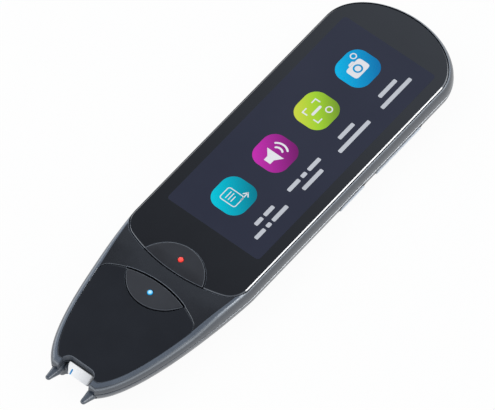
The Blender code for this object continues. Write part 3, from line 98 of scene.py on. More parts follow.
SELECT_SET_BACK = 0.3 * MM
SET_BACK_RUN = 2.5 * MM
BUTTON_EDGE = 0.26 * MM
FLANGE_OVERHANG = 0.7 * MM
FLANGE_THICKNESS = 0.6 * MM
HOME_FLANGE_Z = 9.9 * MM
SELECT_FLANGE_Z = 8.35 * MM
HOME_LIGHT_LOW_Z = 9.3 * MM
SELECT_LIGHT_LOW_Z = 7.75 * MM
LIGHT_RADIUS = 0.8 * MM
LIGHT_PROUD = 0.12 * MM
HOME_LIGHT_Y = -27.3 * MM
HOME_FALL = 0.4 * MM
HOME_FALL_RUN = 5.0 * MM
HOME_CROWN = 0.12 * MM
HOME_CROWN_HALF = 11.3 * MM
SELECT_LIGHT_Y = -40.7 * MM
PLATE_ARC_RADIUS = 32.0 * MM
PLATE_ARC_Y = PLATE_HIGH_Y - PLATE_ARC_RADIUS
PLATE_CORNER = 3.5 * MM
PLATE_MARGIN = 2.3 * MM
PLATE_SINK = 0.2 * MM
PLATE_BEVEL = 0.2 * MM
PLATE_LOW_Z = 9.5 * MM
PLATE_FLOOR_Z = 9.2 * MM
NOSE_CEILING_Z = 8.65 * MM
CROWN_DROP = 1.0 * MM
CROWN_START_Y = WAIST_Y + 0.8 * MM
CROWN_RUN = 13.0 * MM
CROWN_POWER = 2.5
TIP_FALL = 0.2 * MM
NOTCH_WIDTH = 11.4 * MM
NOTCH_DEPTH = 4.3 * MM
NOTCH_CORNER = 2.4 * MM
PRONG_X = 6.45 * MM
PRONG_Z = 6.9 * MM
PRONG_RADIUS = 1.5 * MM
PRONG_LIFT = 0.8 * MM
PRONG_TIP_RADIUS = 0.85 * MM
PRONG_TAPER_POWER = 0.85
ARM_HALF_WIDTH = 0.75 * MM
ARM_HALF_HEIGHT = 0.9 * MM
ARM_BACK_Y = -50.9 * MM
BRIDGE_HALF_WIDTH = 7.05 * MM
BRIDGE_HALF_HEIGHT = 0.75 * MM
BRIDGE_LOW_Y = -52.5 * MM
BRIDGE_HIGH_Y = -51.05 * MM
KEY_Z = 5.9 * MM
KEY_HEIGHT = 2.4 * MM
KEY_RAISE = 0.41 * MM
KEY_EDGE = 0.3 * MM
KEY_BACK_X = 18.427 * MM
KEY_END_RADIUS = 0.9 * MM
# Width, height and depth of the dark rings round the keys, which paint the gap's shadow
GAP_SHADOW_WIDTH = 0.4 * MM
GAP_SHADOW_PROUD = 0.02 * MM
GAP_SHADOW_DEPTH = 2.6 * MM
KEY_FLANGE_REACH = 0.7 * MM
KEY_FLANGE_DEPTH = 0.6 * MM
KEY_FLANGE_HALF = 0.9 * MM
KEY_STEPS = 18
KEY_END_SHARES = (0, 0.03, 0.1, 0.2, 0.35, 0.55, 0.78, 1)
CAMERA_Y = 60.0 * MM
CAMERA_SEAT_RADIUS = 3.75 * MM
CAMERA_SEAT_DEPTH = 1.05 * MM
CAMERA_WAY_RADIUS = 2.7 * MM
SPEAKER_Y = 45.5 * MM
SLOT_COUNT = 7
SLOT_STEP = 2 * MM
SLOT = (1 * MM, 6 * MM, 0.49 * MM)
PINHOLE_RADIUS = 0.5 * MM
ROCKER = (42.3 * MM, 19.6 * MM)
POWER = (21.6 * MM, 10.4 * MM)
SOCKET = (0, 8.1 * MM, 9.5 * MM, 3.8 * MM, 1.72 * MM)
SOCKET_LOW_Y = 70.0 * MM
WINDOW_HALF = 17.8 * MM
WINDOW_SHIFT = 0.35 * MM
WINDOW_LOW_Y = -15.2 * MM
WINDOW_HIGH_Y = 66.8 * MM
NIB_TRAVEL = 0.8 * MM
SCREW_RADIUS = 0.95 * MM
HEAD_RADIUS = 1.75 * MM
HEAD_SEAT_Z = 8.15 * MM
POST_RADIUS = 2.1 * MM
BOARD_POST_Z = 5.1 * MM
CASE_JOINT_Z = 6.6 * MM
BOSS_LOW_Z = 6.9 * MM
BOARD_HOLE_LOW_Z = 2.8 * MM
BOARD_HOLE_HIGH_Z = 5.4 * MM
CASE_HOLE_LOW_Z = 4.0 * MM
SEAM_BEVEL = 0.12 * MM
HOLE_GAP = 0.24 * MM
HOLE_BEVEL = 0.14 * MM
GLASS_SEAM = 0.26 * MM
PLATE_SEAM = 0.1 * MM
NOTCH_BEVEL = 0.18 * MM
ABOVE_Z = 14 * MM
CASE_SCREWS = [(x, -54.0 * MM) for x in (-9.9 * MM, 9.9 * MM)]
BOARD_SCREWS = [(x, y) for y in (-25.0 * MM, 54.5 * MM) for x in (-12.4 * MM, 12.4 * MM)]
PINHOLES = [(-8.5 * MM, 65 * MM), (8.5 * MM, 65 * MM)]

# Facet counts and the crowding of points towards the tip
NOSE_STEPS = 44
SIDE_STEPS = 6
END_STEPS = 36
ARC_STEPS = 28
ROLL_STEPS = 10
BACK_STEPS = 18
NOTCH_STEPS = 16
PRONG_SIDES = 48
NOSE_CROWDING = 1.5
PLATE_CROWDING = 1.3
CORNER_HALVINGS = 40
CROWN_SHARES = tuple(1 - step / 12 for step in range(1, 12))


def skin_object(name, bm, body=None, materials=None, sharp=30):
    """Turn a bmesh into a smooth-shaded piece that rides on a body."""
    mesh = bpy.data.meshes.new(name)
    bm.to_mesh(mesh)
    bm.free()
    mesh.shade_smooth()
    mesh.set_sharp_from_angle(angle=math.radians(sharp))
    for material in materials or ():
        mesh.materials.append(material)
    piece = bpy.data.objects.new(name, mesh)
    scene.collection.objects.link(piece)
    if body is not None:
        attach(piece, body)
    return piece


def shape(piece, tools, operation="DIFFERENCE", sharp=30):
    """Cut tools out of a piece, or join them to it, for good."""
    for tool in tools:
        modifier = piece.modifiers.new(tool.name, "BOOLEAN")
        modifier.operation = operation
        modifier.solver = "EXACT"
        modifier.object = tool
    bpy.context.view_layer.update()
    graph = bpy.context.evaluated_depsgraph_get()
    made = bpy.data.meshes.new_from_object(piece.evaluated_get(graph))
    piece.modifiers.clear()
    old = piece.data
    piece.data = made
    bpy.data.meshes.remove(old)
    made.shade_smooth()
    made.set_sharp_from_angle(angle=math.radians(sharp))
    for tool in tools:
        bpy.data.objects.remove(tool)
    return piece


def face_of(bm, corners):
    distinct = []
    for corner in corners:
        if corner not in distinct:
            distinct.append(corner)
    if len(distinct) > 2:
        bm.faces.new(distinct)


def wrap(bm, loops, ends=True):
    """Join closed loops of points with faces, and close the two ends."""
    for low, high in zip(loops, loops[1:]):
        for step in range(len(low)):
            after = (step + 1) % len(low)
            bm.faces.new([low[step], low[after], high[after], high[step]])
    if ends:
        bm.faces.new(loops[0][::-1])
        bm.faces.new(loops[-1])


def outward_object(name, bm, body=None, materials=None, sharp=30):
    bmesh.ops.recalc_face_normals(bm, faces=bm.faces)
    return skin_object(name, bm, body, materials, sharp)


def finished(piece, body, material):
    """Give a plain piece its material and put it on its body."""
    piece.data.materials.append(material)
    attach(piece, body)
    return piece


def turns(steps, whole=math.pi / 2, first=0, last=1):
    """Cosine and sine at even steps of a turn, which is a quarter by default."""
    angles = [whole * step / steps for step in range(first, steps + last)]
    return [(math.cos(angle), math.sin(angle)) for angle in angles]


def bearing(x, y):
    return math.degrees(math.atan2(y, x))


def raised(skin, offset):
    """A height, or the heights of a skin, moved by an offset."""
    if callable(skin):
        return lambda x, y: skin(x, y) + offset
    return skin + offset


def mirrored_rows(bm, ring):
    right = [bm.verts.new(point) for point in ring]
    left = []
    for vert in right:
        on_middle = vert.co.x == 0
        left.append(vert if on_middle else bm.verts.new((-vert.co.x, vert.co.y, vert.co.z)))
    return right, left


def cap_rows(bm, right, left, height, upward):
    rows = []
    for near, far in zip(right, left):
        row = [near]
        if height is not None and near is not far:
            x, y = near.co.x, near.co.y
            shares = CROWN_SHARES + (0,) + tuple(-share for share in reversed(CROWN_SHARES))
            row += [bm.verts.new((x * share, y, height(x * share, y))) for share in shares]
        row.append(far)
        rows.append(row)
    for low, high in zip(rows, rows[1:]):
        count = max(len(low), len(high))
        low = low if len(low) == count else [low[0]] * count
        high = high if len(high) == count else [high[0]] * count
        for column in range(count - 1):
            corners = [low[column], high[column], high[column + 1], low[column + 1]]
            face_of(bm, corners if upward else corners[::-1])
    if len(rows[0]) > 2:
        bm.faces.new(rows[0])


def loft(name, rings, body=None, materials=None, height=None, bands=None):
    """Close a stack of half rings, given from tip to far end, into a solid.

    Bands gives the place in the materials of the faces above a numbered ring.
    """
    bm = bmesh.new()
    loops = [mirrored_rows(bm, ring) for ring in rings]
    for number, ((right_a, left_a), (right_b, left_b)) in enumerate(zip(loops, loops[1:])):
        made = len(bm.faces)
        for step in range(len(right_a) - 1):
            face_of(bm, [right_a[step], right_a[step + 1], right_b[step + 1], right_b[step]])
            face_of(bm, [left_a[step + 1], left_a[step], left_b[step], left_b[step + 1]])
        face_of(bm, [left_a[0], right_a[0], right_b[0], left_b[0]])
        face_of(bm, [right_a[-1], left_a[-1], left_b[-1], right_b[-1]])
        if bands and number in bands:
            bm.faces.ensure_lookup_table()
            for face in bm.faces[made:]:
                face.material_index = bands[number]
    cap_rows(bm, *loops[0], None, upward=False)
    cap_rows(bm, *loops[-1], height, upward=True)
    return skin_object(name, bm, body, materials)


def prism(name, outline, low, high, axis="Z", index=0):
    """Extrude a closed outline along Z, or an outline in XZ along Y."""
    bm = bmesh.new()
    ends = []
    for level in (low, high):
        points = [(u, v, level) if axis == "Z" else (u, level, v) for u, v in outline]
        ends.append([bm.verts.new(point) for point in points])
    wrap(bm, ends)
    for face in bm.faces:
        face.material_index = index
    return outward_object(name, bm)


def block(name, low, high):
    outline = [(low[0], low[1]), (high[0], low[1]), (high[0], high[1]), (low[0], high[1])]
    return prism(name, outline, low[2], high[2])


def turned(name, profile, place, axis="Z", steps=64):
    """Turn a profile of (radius, distance along the axis) into a solid."""
    bm = bmesh.new()
    circle_points = turns(steps, 2 * math.pi, last=0)
    wrap(bm, [[bm.verts.new((radius * c, radius * s, along)) for c, s in circle_points]
              for radius, along in profile])
    turn = Matrix.Rotation(math.pi / 2, 4, "X") if axis == "-Y" else Matrix.Identity(4)
    bm.transform(Matrix.Translation(place) @ turn)
    return skin_object(name, bm)


def clamped(share):
    return min(1.0, max(0.0, share))


def nose_share(along):
    return max(0.0, 1 - along ** NOSE_POWER) ** (1 / NOSE_ROUNDNESS)


def body_half_width(y, inset=0.0):
    half = HALF_WIDTH - inset
    if y < NOSE_START_Y:
        return half * nose_share(min(1.0, (NOSE_START_Y - y) / (NOSE_REACH - inset)))
    if y > END_Y:
        return half * math.sqrt(max(0.0, 1 - ((y - END_Y) / (END_LENGTH - inset)) ** 2))
    return half


def rounded_end(half, start_y, length):
    """Right half of the elliptical far end, up to the middle line."""
    points = [(half * c, start_y + length * s) for c, s in turns(END_STEPS, last=0)]
    return points + [(0, start_y + length)]


def body_outline(inset, tip_inset=None):
    """Right half of the body's outline, from the blunt tip to the far end."""
    tip_inset = inset if tip_inset is None else tip_inset
    half = HALF_WIDTH - inset
    reach = NOSE_REACH - tip_inset
    blunt_share = (NOSE_START_Y - BODY_TIP_Y - tip_inset) / reach
    points = []
    for step in range(NOSE_STEPS):
        along = blunt_share * (1 - (step / NOSE_STEPS) ** NOSE_CROWDING)
        points.append((half * nose_share(along), NOSE_START_Y - along * reach))
    for step in range(SIDE_STEPS):
        points.append((half, NOSE_START_Y + (END_Y - NOSE_START_Y) * step / SIDE_STEPS))
    return points + rounded_end(half, END_Y, END_LENGTH - inset)


def smooth_step(share):
    share = clamped(share)
    return share * share * (3 - 2 * share)


def top_height(x, y):
    """Height of the crowned upper skin over a point of the outline."""
    half = body_half_width(y, EDGE_ROLL)
    across = min(1.0, abs(x) / half) if half > 0 else 1.0
    crown = CROWN_DROP * smooth_step((CROWN_START_Y - y) / CROWN_RUN)
    tip_share = clamped((CROWN_START_Y - y) / (CROWN_START_Y - BODY_TIP_Y))
    return GLASS_TOP_Z - TIP_FALL * tip_share - crown * across ** CROWN_POWER


def back_height(y):
    along = clamped((BODY_TIP_Y + NOSE_RISE_LENGTH - y) / NOSE_RISE_LENGTH)
    return NOSE_RISE * along ** NOSE_RISE_POWER


def ring_at(outline, height):
    return [(x, y, height(x, y) if callable(height) else height) for x, y in outline]


def arc_points(centre, radius, start_deg, end_deg, steps):
    points = []
    for step in range(steps):
        angle = math.radians(start_deg + (end_deg - start_deg) * step / steps)
        points.append((centre[0] + radius * math.cos(angle), centre[1] + radius * math.sin(angle)))
    return points


def from_middle(centre_y, radius, turn):
    """An arc from its lowest point, on the middle line, up to a bearing."""
    points = arc_points((0, centre_y), radius, -90, turn, ARC_STEPS)
    points[0] = (0, centre_y - radius)
    return points


def to_middle(centre_y, radius, turn):
    """An arc from a bearing up to its highest point, on the middle line."""
    return arc_points((0, centre_y), radius, turn, 90, ARC_STEPS) + [(0, centre_y + radius)]


def glass_outline(inset=0.0):
    """Right half of the cover glass, from its sagging lower edge upwards."""
    half = GLASS_HALF_WIDTH - inset
    corner = GLASS_CORNER - inset
    sag = GLASS_SAG_RADIUS - inset
    low_y = GLASS_LOW_Y + inset
    rise = math.sqrt((sag - corner) ** 2 - (half - corner) ** 2)
    centre = (half - corner, low_y + sag - rise)
    turn = bearing(centre[0], centre[1] - low_y - sag)
    points = from_middle(low_y + sag, sag, turn)
    points += arc_points(centre, corner, turn, 0, ARC_STEPS)
    points += [(half, centre[1]), (half, (centre[1] + GLASS_END_Y) / 2)]
    return points + rounded_end(half, GLASS_END_Y, GLASS_END_LENGTH - inset)


def plate_corner(inset):
    """Centre of the corner between the plate's side and its arched top."""
    corner = PLATE_CORNER - inset
    arc = PLATE_ARC_RADIUS - inset
    low, high = PLATE_ARC_Y, PLATE_HIGH_Y
    for _ in range(CORNER_HALVINGS):
        y = (low + high) / 2
        x = body_half_width(y, PLATE_MARGIN + inset) - corner
        if math.hypot(x, y - PLATE_ARC_Y) > arc - corner:
            high = y
        else:
            low = y
    return x, y


def plate_outline(inset=0.0):
    """Right half of the nose plate, from its blunt tip to its arched top."""
    margin = PLATE_MARGIN + inset
    corner_x, corner_y = plate_corner(inset)
    low_y = BODY_TIP_Y + margin
    points = []
    for step in range(NOSE_STEPS):
        y = low_y + (corner_y - low_y) * (step / NOSE_STEPS) ** PLATE_CROWDING
        points.append((body_half_width(y, margin), y))
    turn = bearing(corner_x, corner_y - PLATE_ARC_Y)
    points += arc_points((corner_x, corner_y), PLATE_CORNER - inset, 0, turn, ARC_STEPS)
    return points + to_middle(PLATE_ARC_Y, PLATE_ARC_RADIUS - inset, turn)


def crossing(radius, other, other_y):
    """Bearings, from both centres, of where a button's circle meets an arc."""
    squares = other ** 2 - radius ** 2 + WAIST_Y ** 2 - other_y ** 2
    y = squares / (2 * (WAIST_Y - other_y))
    x = math.sqrt(radius ** 2 - (y - WAIST_Y) ** 2)
    return bearing(x, y - WAIST_Y), bearing(x, y - other_y)


def home_outline(inset=0.0):
    """Right half of the upper button: the circle's part above the waist."""
    radius = BUTTON_RADIUS - inset
    sag = GLASS_SAG_RADIUS - inset
    sag_y = GLASS_LOW_Y + GLASS_SAG_RADIUS
    turn, sag_turn = crossing(radius, sag, sag_y)
    return from_middle(sag_y, sag, sag_turn) + to_middle(WAIST_Y, radius, turn)


def select_outline(inset=0.0):
    """Right half of the lower button: the circle's part below the waist."""
    radius = BUTTON_RADIUS - inset
    arc = PLATE_ARC_RADIUS - inset
    turn, arc_turn = crossing(radius, arc, PLATE_ARC_Y)
    return from_middle(WAIST_Y, radius, turn) + to_middle(PLATE_ARC_Y, arc, arc_turn)


def whole_outline(half):
    return half + [(-x, y) for x, y in reversed(half) if x != 0]


def rounded_rectangle(x, y, width, length, corner, steps=12):
    points = []
    reach_x = width / 2 - corner
    reach_y = length / 2 - corner
    for side_x, side_y, start in ((1, -1, -90), (1, 1, 0), (-1, 1, 90), (-1, -1, 180)):
        centre = (x + side_x * reach_x, y + side_y * reach_y)
        points += arc_points(centre, corner, start, start + 90 * (steps + 1) / steps, steps + 1)
    return points


def prong_hole_tools():
    """Ways for the prongs, as deep as the nib travels."""
    radius = PRONG_RADIUS + SEAT_GAP
    profile = [(radius, -FRAME_WALL - SEAT_GAP - NIB_TRAVEL), (radius, OVERRUN)]
    return [turned(f"prong_tool_{side}", profile, (side * PRONG_X, BODY_TIP_Y, PRONG_Z), "-Y", PRONG_SIDES)
            for side in (-1, 1)]


def socket_tool():
    return prism("socket", rounded_rectangle(*SOCKET), SOCKET_LOW_Y, FAR_END_Y + OVERRUN, axis="Y")


# The two shell mouldings
def rods(name, places, radius, low, high):
    tools = []
    for number, (x, y) in enumerate(places):
        low_z = low(x, y) if callable(low) else low
        tools.append(turned(f"{name}_{number}", [(radius, low_z), (radius, high)], (x, y, 0), steps=32))
    return tools


def flared(name, outline, low, skin, gap=HOLE_GAP, edge=HOLE_BEVEL, wall=0, mouth=1):
    """A cutter with upright sides whose mouth opens into a small chamfer."""
    rings = [
        ring_at(outline(-gap), low),
        ring_at(outline(-gap), raised(skin, -edge)),
        ring_at(outline(-gap - edge), raised(skin, 0)),
        ring_at(outline(-gap - 2 * edge), raised(skin, edge)),
        ring_at(outline(-gap - 2 * edge), GLASS_TOP_Z + 2 * OVERRUN),
    ]
    return loft(name, rings, bands={0: wall, 1: mouth, 2: mouth})


def notch_outline(inset):
    """Half outline of the tip's opening, from outside the tip inwards."""
    half = NOTCH_WIDTH / 2 - inset
    corner = NOTCH_CORNER - inset
    top_y = BODY_TIP_Y + NOTCH_DEPTH - inset
    points = [(half, BODY_TIP_Y - 2 * MM)]
    points += arc_points((half - corner, top_y - corner), corner, 0, 90, NOTCH_STEPS)
    points += [(half - corner, top_y), (0, top_y)]
    return points


def shell_rings():
    def ceiling(x, y):
        return NOSE_CEILING_Z if y < PLATE_HIGH_Y + SEAT_GAP else DECK_LOW_Z

    rings = [
        ring_at(body_outline(FRAME_WALL), ceiling),
        ring_at(body_outline(FRAME_WALL), LIP_LOW_Z),
        ring_at(body_outline(LIP_INSET), LIP_LOW_Z),
        ring_at(body_outline(LIP_INSET), FRAME_LOW_Z),
        ring_at(body_outline(SEAM_BEVEL), FRAME_LOW_Z),
        ring_at(body_outline(0), FRAME_LOW_Z + SEAM_BEVEL),
    ]
    for cosine, sine in turns(ROLL_STEPS):
        def skin(x, y):
            return SIDE_Z + (top_height(HALF_WIDTH, y) - SIDE_Z) * sine

        rings.append(ring_at(rolled_outline(1 - cosine), skin))
    return rings


def rolled_outline(share):
    """Outline drawn in by a share of the edge's roll, which is wider on the nose."""
    outline = []
    nose = body_outline(NOSE_ROLL * share)
    for (x, y), (nose_x, nose_y) in zip(body_outline(EDGE_ROLL * share), nose):
        on_nose = smooth_step((NOSE_START_Y - y) / NOSE_ROLL_RUN)
        outline.append((x + (nose_x - x) * on_nose, y + (nose_y - y) * on_nose))
    return outline


def make_frame(*materials):
    """Upper moulding: side walls from ring 4 up, and the roll's top from ring 12."""
    # The side and roll bands take a lighter copy of the moulding's colour: a painted sheen that the rolled
    # edge shows
    bands = dict.fromkeys(range(4, 6 + ROLL_STEPS), 3)
    # The top bands of the roll, next to the plate, get a still lighter copy: a painted highlight
    bands.update(dict.fromkeys(range(12, 6 + ROLL_STEPS), 5))
    piece = loft("frame_shell", shell_rings(), "pen", materials, top_height, bands)
    shape(piece, rods("boss", CASE_SCREWS, POST_RADIUS, BOSS_LOW_Z, PLATE_FLOOR_Z - FINE_GAP), "UNION")
    growth = FLANGE_OVERHANG + SEAT_GAP
    half = WINDOW_HALF + SEAT_GAP
    window_low = (-WINDOW_SHIFT - half, WINDOW_LOW_Y, DECK_LOW_Z - OVERRUN)
    return shape(piece, [
        flared("glass_seat", glass_outline, DECK_TOP_Z, GLASS_TOP_Z, GLASS_SEAM, SEAM_BEVEL, 0, 4),
        block("window", window_low, (half - WINDOW_SHIFT, WINDOW_HIGH_Y, ABOVE_Z)),
        flared("plate_seat", plate_outline, PLATE_FLOOR_Z, top_height, PLATE_SEAM, PLATE_SEAM, 0, 3),
        flared("home_hole", home_outline, DECK_LOW_Z - OVERRUN, GLASS_TOP_Z),
        flared("select_hole", select_outline, LIP_LOW_Z, top_height),
        prism("home_pocket", whole_outline(home_outline(-growth)), LIP_LOW_Z, DECK_LOW_Z),
        prism("select_pocket", whole_outline(select_outline(-growth)), LIP_LOW_Z, NOSE_CEILING_Z),
        flared("notch", notch_outline, 0, top_height, 0, NOTCH_BEVEL, 2),
        *prong_hole_tools(),
        socket_tool(),
        *rods("case_head", CASE_SCREWS, HEAD_RADIUS, HEAD_SEAT_Z, ABOVE_Z),
        *rods("case_shaft", CASE_SCREWS, SCREW_RADIUS, CASE_JOINT_Z, ABOVE_Z),
    ])


def make_cover(*materials):
    rings = []
    for cosine, sine in reversed(turns(BACK_STEPS)):
        edge = SEAM_BEVEL if sine == 0 else 0

        def outer(x, y):
            return PART_LINE_Z - (PART_LINE_Z - back_height(y)) * sine - edge

        drawn_in = 1 - cosine
        rings.append(ring_at(body_outline(BACK_ROLL * drawn_in, BACK_TIP_ROLL * drawn_in), outer))
    rings.append(ring_at(body_outline(SEAM_BEVEL), PART_LINE_Z))
    for cosine, sine in turns(6):
        def inner(x, y):
            return PART_LINE_Z - (PART_LINE_Z - back_height(y) - SHELL_WALL) * sine

        inset = SHELL_WALL + (BACK_ROLL - 1.0 * MM) * (1 - cosine)
        tip_inset = SHELL_WALL + (BACK_TIP_ROLL - 0.8 * MM) * (1 - cosine)
        rings.append(ring_at(body_outline(inset, tip_inset), inner))
    piece = loft("cover_shell", rings, "pen", materials)

    def in_floor(x, y):
        return back_height(y) + SHELL_WALL / 2

    posts = rods("board_post", BOARD_SCREWS, POST_RADIUS, in_floor, BOARD_POST_Z)
    posts += rods("case_post", CASE_SCREWS, POST_RADIUS, in_floor, CASE_JOINT_Z)
    shape(piece, posts, "UNION")
    slots = []
    for number in range(SLOT_COUNT):
        x = (number - SLOT_COUNT // 2) * SLOT_STEP
        outline = rounded_rectangle(x, SPEAKER_Y, *SLOT)
        slots.append(prism(f"slot_{number}", outline, -OVERRUN, SHELL_WALL + OVERRUN))
    return shape(piece, [
        prism("notch", whole_outline(notch_outline(0)), -OVERRUN, ABOVE_Z, index=2),
        *prong_hole_tools(),
        socket_tool(),
        key_shape("rocker_window", *ROCKER, SEAT_GAP),
        key_shape("power_window", *POWER, SEAT_GAP),
        *rods("board_hole", BOARD_SCREWS, SCREW_RADIUS, BOARD_HOLE_LOW_Z, BOARD_HOLE_HIGH_Z),
        *rods("case_hole", CASE_SCREWS, SCREW_RADIUS, CASE_HOLE_LOW_Z, PART_LINE_Z),
        *slots,
        turned("window_seat", [(CAMERA_SEAT_RADIUS, -OVERRUN), (CAMERA_SEAT_RADIUS, CAMERA_SEAT_DEPTH)],
               (0, CAMERA_Y, 0)),
        turned("window_way", [(CAMERA_WAY_RADIUS, -OVERRUN), (CAMERA_WAY_RADIUS, 3 * MM)], (0, CAMERA_Y, 0)),
        *rods("pinhole", PINHOLES, PINHOLE_RADIUS, -OVERRUN, 4 * MM),
    ])


def cover_side_x(z):
    sine = clamped((PART_LINE_Z - z) / PART_LINE_Z)
    return HALF_WIDTH - BACK_ROLL * (1 - math.sqrt(1 - sine * sine))


def key_shape(name, y, length, gap=0.0, body=None, materials=None, proud=None):
    """A key that follows the cover's curve, or the window that it moves in."""
    bm = bmesh.new()
    end = KEY_END_RADIUS
    stations = [end * share for share in KEY_END_SHARES]
    stations += [length - station for station in reversed(stations)]
    rings = []
    for station in stations:
        from_end = min(station, length - station, end)
        half = KEY_HEIGHT / 2 - end + math.sqrt(end ** 2 - (end - from_end) ** 2) + gap
        at = y - length / 2 - gap + station * (length + 2 * gap) / length
        lift = proud if proud is not None else KEY_RAISE + (OVERRUN if gap else 0)
        ring = [(KEY_BACK_X - gap, KEY_Z + half), (KEY_BACK_X - gap, KEY_Z - half)]
        for step in range(KEY_STEPS + 1):
            z = KEY_Z - half + 2 * half * step / KEY_STEPS
            from_edge = min(z - KEY_Z + half, KEY_Z + half - z, from_end + SEAM_BEVEL, KEY_EDGE)
            inwards = KEY_EDGE - max(from_edge, 0)
            edge = 0 if gap else KEY_EDGE - math.sqrt(KEY_EDGE ** 2 - inwards ** 2)
            ring.append((cover_side_x(z) + lift - edge, z))
        rings.append([bm.verts.new((x, at, z)) for x, z in ring])
    wrap(bm, rings)
    return outward_object(name, bm, body, materials, 35)


def make_key(name, y, length, body, *materials):
    piece = key_shape(name, y, length, 0.0, body, materials)
    reach = length / 2 + KEY_FLANGE_REACH
    low = (KEY_BACK_X - KEY_FLANGE_DEPTH, y - reach, KEY_Z - KEY_FLANGE_HALF)
    flange = block("flange", low, (KEY_BACK_X + FINE_GAP, y + reach, KEY_Z + KEY_FLANGE_HALF))
    return shape(piece, [flange], "UNION", 35)


def make_key_gap_shadow(name, y, length, material):
    """A thin dark ring set into the cover round a key's window: a painted shadow that stands in for the
    shaded gap.
    """
    piece = key_shape(name, y, length, SEAT_GAP + GAP_SHADOW_WIDTH, "pen", [material], GAP_SHADOW_PROUD)
    shallow = block("gap_shadow_depth", (0, y - length, 0), (KEY_BACK_X + GAP_SHADOW_DEPTH, y + length, PART_LINE_Z))
    return shape(piece, [key_shape("gap_shadow_window", y, length, SEAT_GAP), shallow])


# Front pieces: glass, nose plate and the two buttons
def edged(outline, low, skin, edge, steps=6):
    """Upright sides whose top edge is rounded off in fine steps."""
    rings = [ring_at(outline(0), low)]
    for cosine, sine in turns(steps):
        rings.append(ring_at(outline(edge * (1 - cosine)), raised(skin, -edge * (1 - sine))))
    return rings


def make_glass(*materials):
    """A pane whose ground edge is a slightly rounded facet at 45 degrees."""
    rings = [ring_at(glass_outline(0), GLASS_TOP_Z - GLASS_THICKNESS)]
    low, high = math.radians(45 - GLASS_EDGE_TURN), math.radians(45 + GLASS_EDGE_TURN)
    radius = GLASS_EDGE / (math.cos(low) - math.cos(high))
    for step in range(5):
        angle = low + (high - low) * step / 4
        inset = radius * (math.cos(low) - math.cos(angle))
        top = GLASS_TOP_Z - radius * (math.sin(high) - math.sin(angle))
        rings.append(ring_at(glass_outline(inset), top))
    piece = loft("glass_pane", rings, "pen", materials, bands=dict.fromkeys(range(1, 5), 1))
    return shape(piece, [flared("glass_hole", home_outline, 11 * MM, GLASS_TOP_Z, mouth=2)])


def make_nose(*materials):
    skin = raised(top_height, -PLATE_SINK)
    rings = edged(plate_outline, PLATE_LOW_Z, skin, PLATE_BEVEL, 4)
    piece = loft("nose_skin", rings, "pen", materials, skin, {2: 1, 3: 1})
    return shape(piece, [
        flared("plate_hole", select_outline, NOSE_CEILING_Z, skin),
        flared("plate_notch", notch_outline, 8 * MM, skin, 0, HOLE_BEVEL, 2),
    ])


def make_button(name, outline, flange_top, light_y, face, body):
    """A button with a shaped face over the flange that holds it in."""
    flange_low = flange_top - FLANGE_THICKNESS
    wide = outline(-FLANGE_OVERHANG)
    rings = [ring_at(wide, flange_low), ring_at(wide, flange_top)]
    rings += edged(outline, flange_top, face, BUTTON_EDGE)
    piece = loft(name, rings, body, (button_satin, button_edge_highlight), face, {5: 1, 6: 1, 7: 1})
    radius = LIGHT_RADIUS + FINE_GAP
    top = face(0, light_y)
    rim = 0.08 * MM
    wide = radius + 2 * rim
    profile = [(radius, flange_low - OVERRUN), (radius, top - rim), (wide, top + rim), (wide, top + OVERRUN)]
    return shape(piece, [turned("light_way", profile, (0, light_y, 0), steps=48)])


def home_face(x, y):
    """Flat in the middle and a little lower towards the waist and the sides."""
    down = max(0, (HOME_LIGHT_Y - y) / HOME_FALL_RUN)
    return BUTTON_TOP_Z - HOME_CROWN * (x / HOME_CROWN_HALF) ** 2 - HOME_FALL * down ** 2


def select_face(x, y):
    """Proud of the plate below, and lower than the waist above."""
    share = min(1.0, max(-1.0, (y - SELECT_LIGHT_Y) / SELECT_TILT_RUN))
    return top_height(x, y) + SELECT_PROUD - SELECT_TILT * share


def select_edge(inset=0.0):
    """Outline of the lower button, set back from the waist for its finger groove."""
    outline = []
    for x, y in select_outline(inset):
        back = SELECT_SET_BACK * smooth_step((y - SELECT_LIGHT_Y) / SET_BACK_RUN)
        outline.append((x, y - back))
    return outline


def make_light(name, y, low, top, body, material):
    """A short light pipe with a domed end."""
    dome = 0.14 * MM
    profile = [(LIGHT_RADIUS, low), (LIGHT_RADIUS, top - dome)]
    for cosine, sine in turns(8, first=1):
        profile.append((max(LIGHT_RADIUS * cosine, 0.02 * MM), top - dome * (1 - sine)))
    return finished(turned(name, profile, (0, y, 0), steps=48), body, material)


# Tip: the sprung fork and the white hood between its prongs
def prong(name, x, back_y):
    """A round prong that tapers and rises a little outside the body."""
    length = back_y - NIB_TIP_Y
    straight = back_y - BODY_TIP_Y
    tip = PRONG_TIP_RADIUS
    stations = [(0, PRONG_RADIUS), (straight - 0.2 * MM, PRONG_RADIUS)]
    for step in range(9):
        share = step / 8
        along = straight + (length - tip - straight) * share
        stations.append((along, PRONG_RADIUS + (tip - PRONG_RADIUS) * share ** PRONG_TAPER_POWER))
    for cosine, sine in turns(12, first=1, last=0):
        stations.append((length - tip + tip * sine, tip * cosine))
    stations.append((length, tip * 0.06))
    bm = bmesh.new()
    rings = []
    for along, radius in stations:
        z = PRONG_Z + PRONG_LIFT * max(0, along - straight) / (length - straight)
        rings.append([bm.verts.new((x + radius * c, back_y - along, z + radius * s))
                      for c, s in turns(PRONG_SIDES, 2 * math.pi, last=0)])
    wrap(bm, rings)
    return outward_object(name, bm)


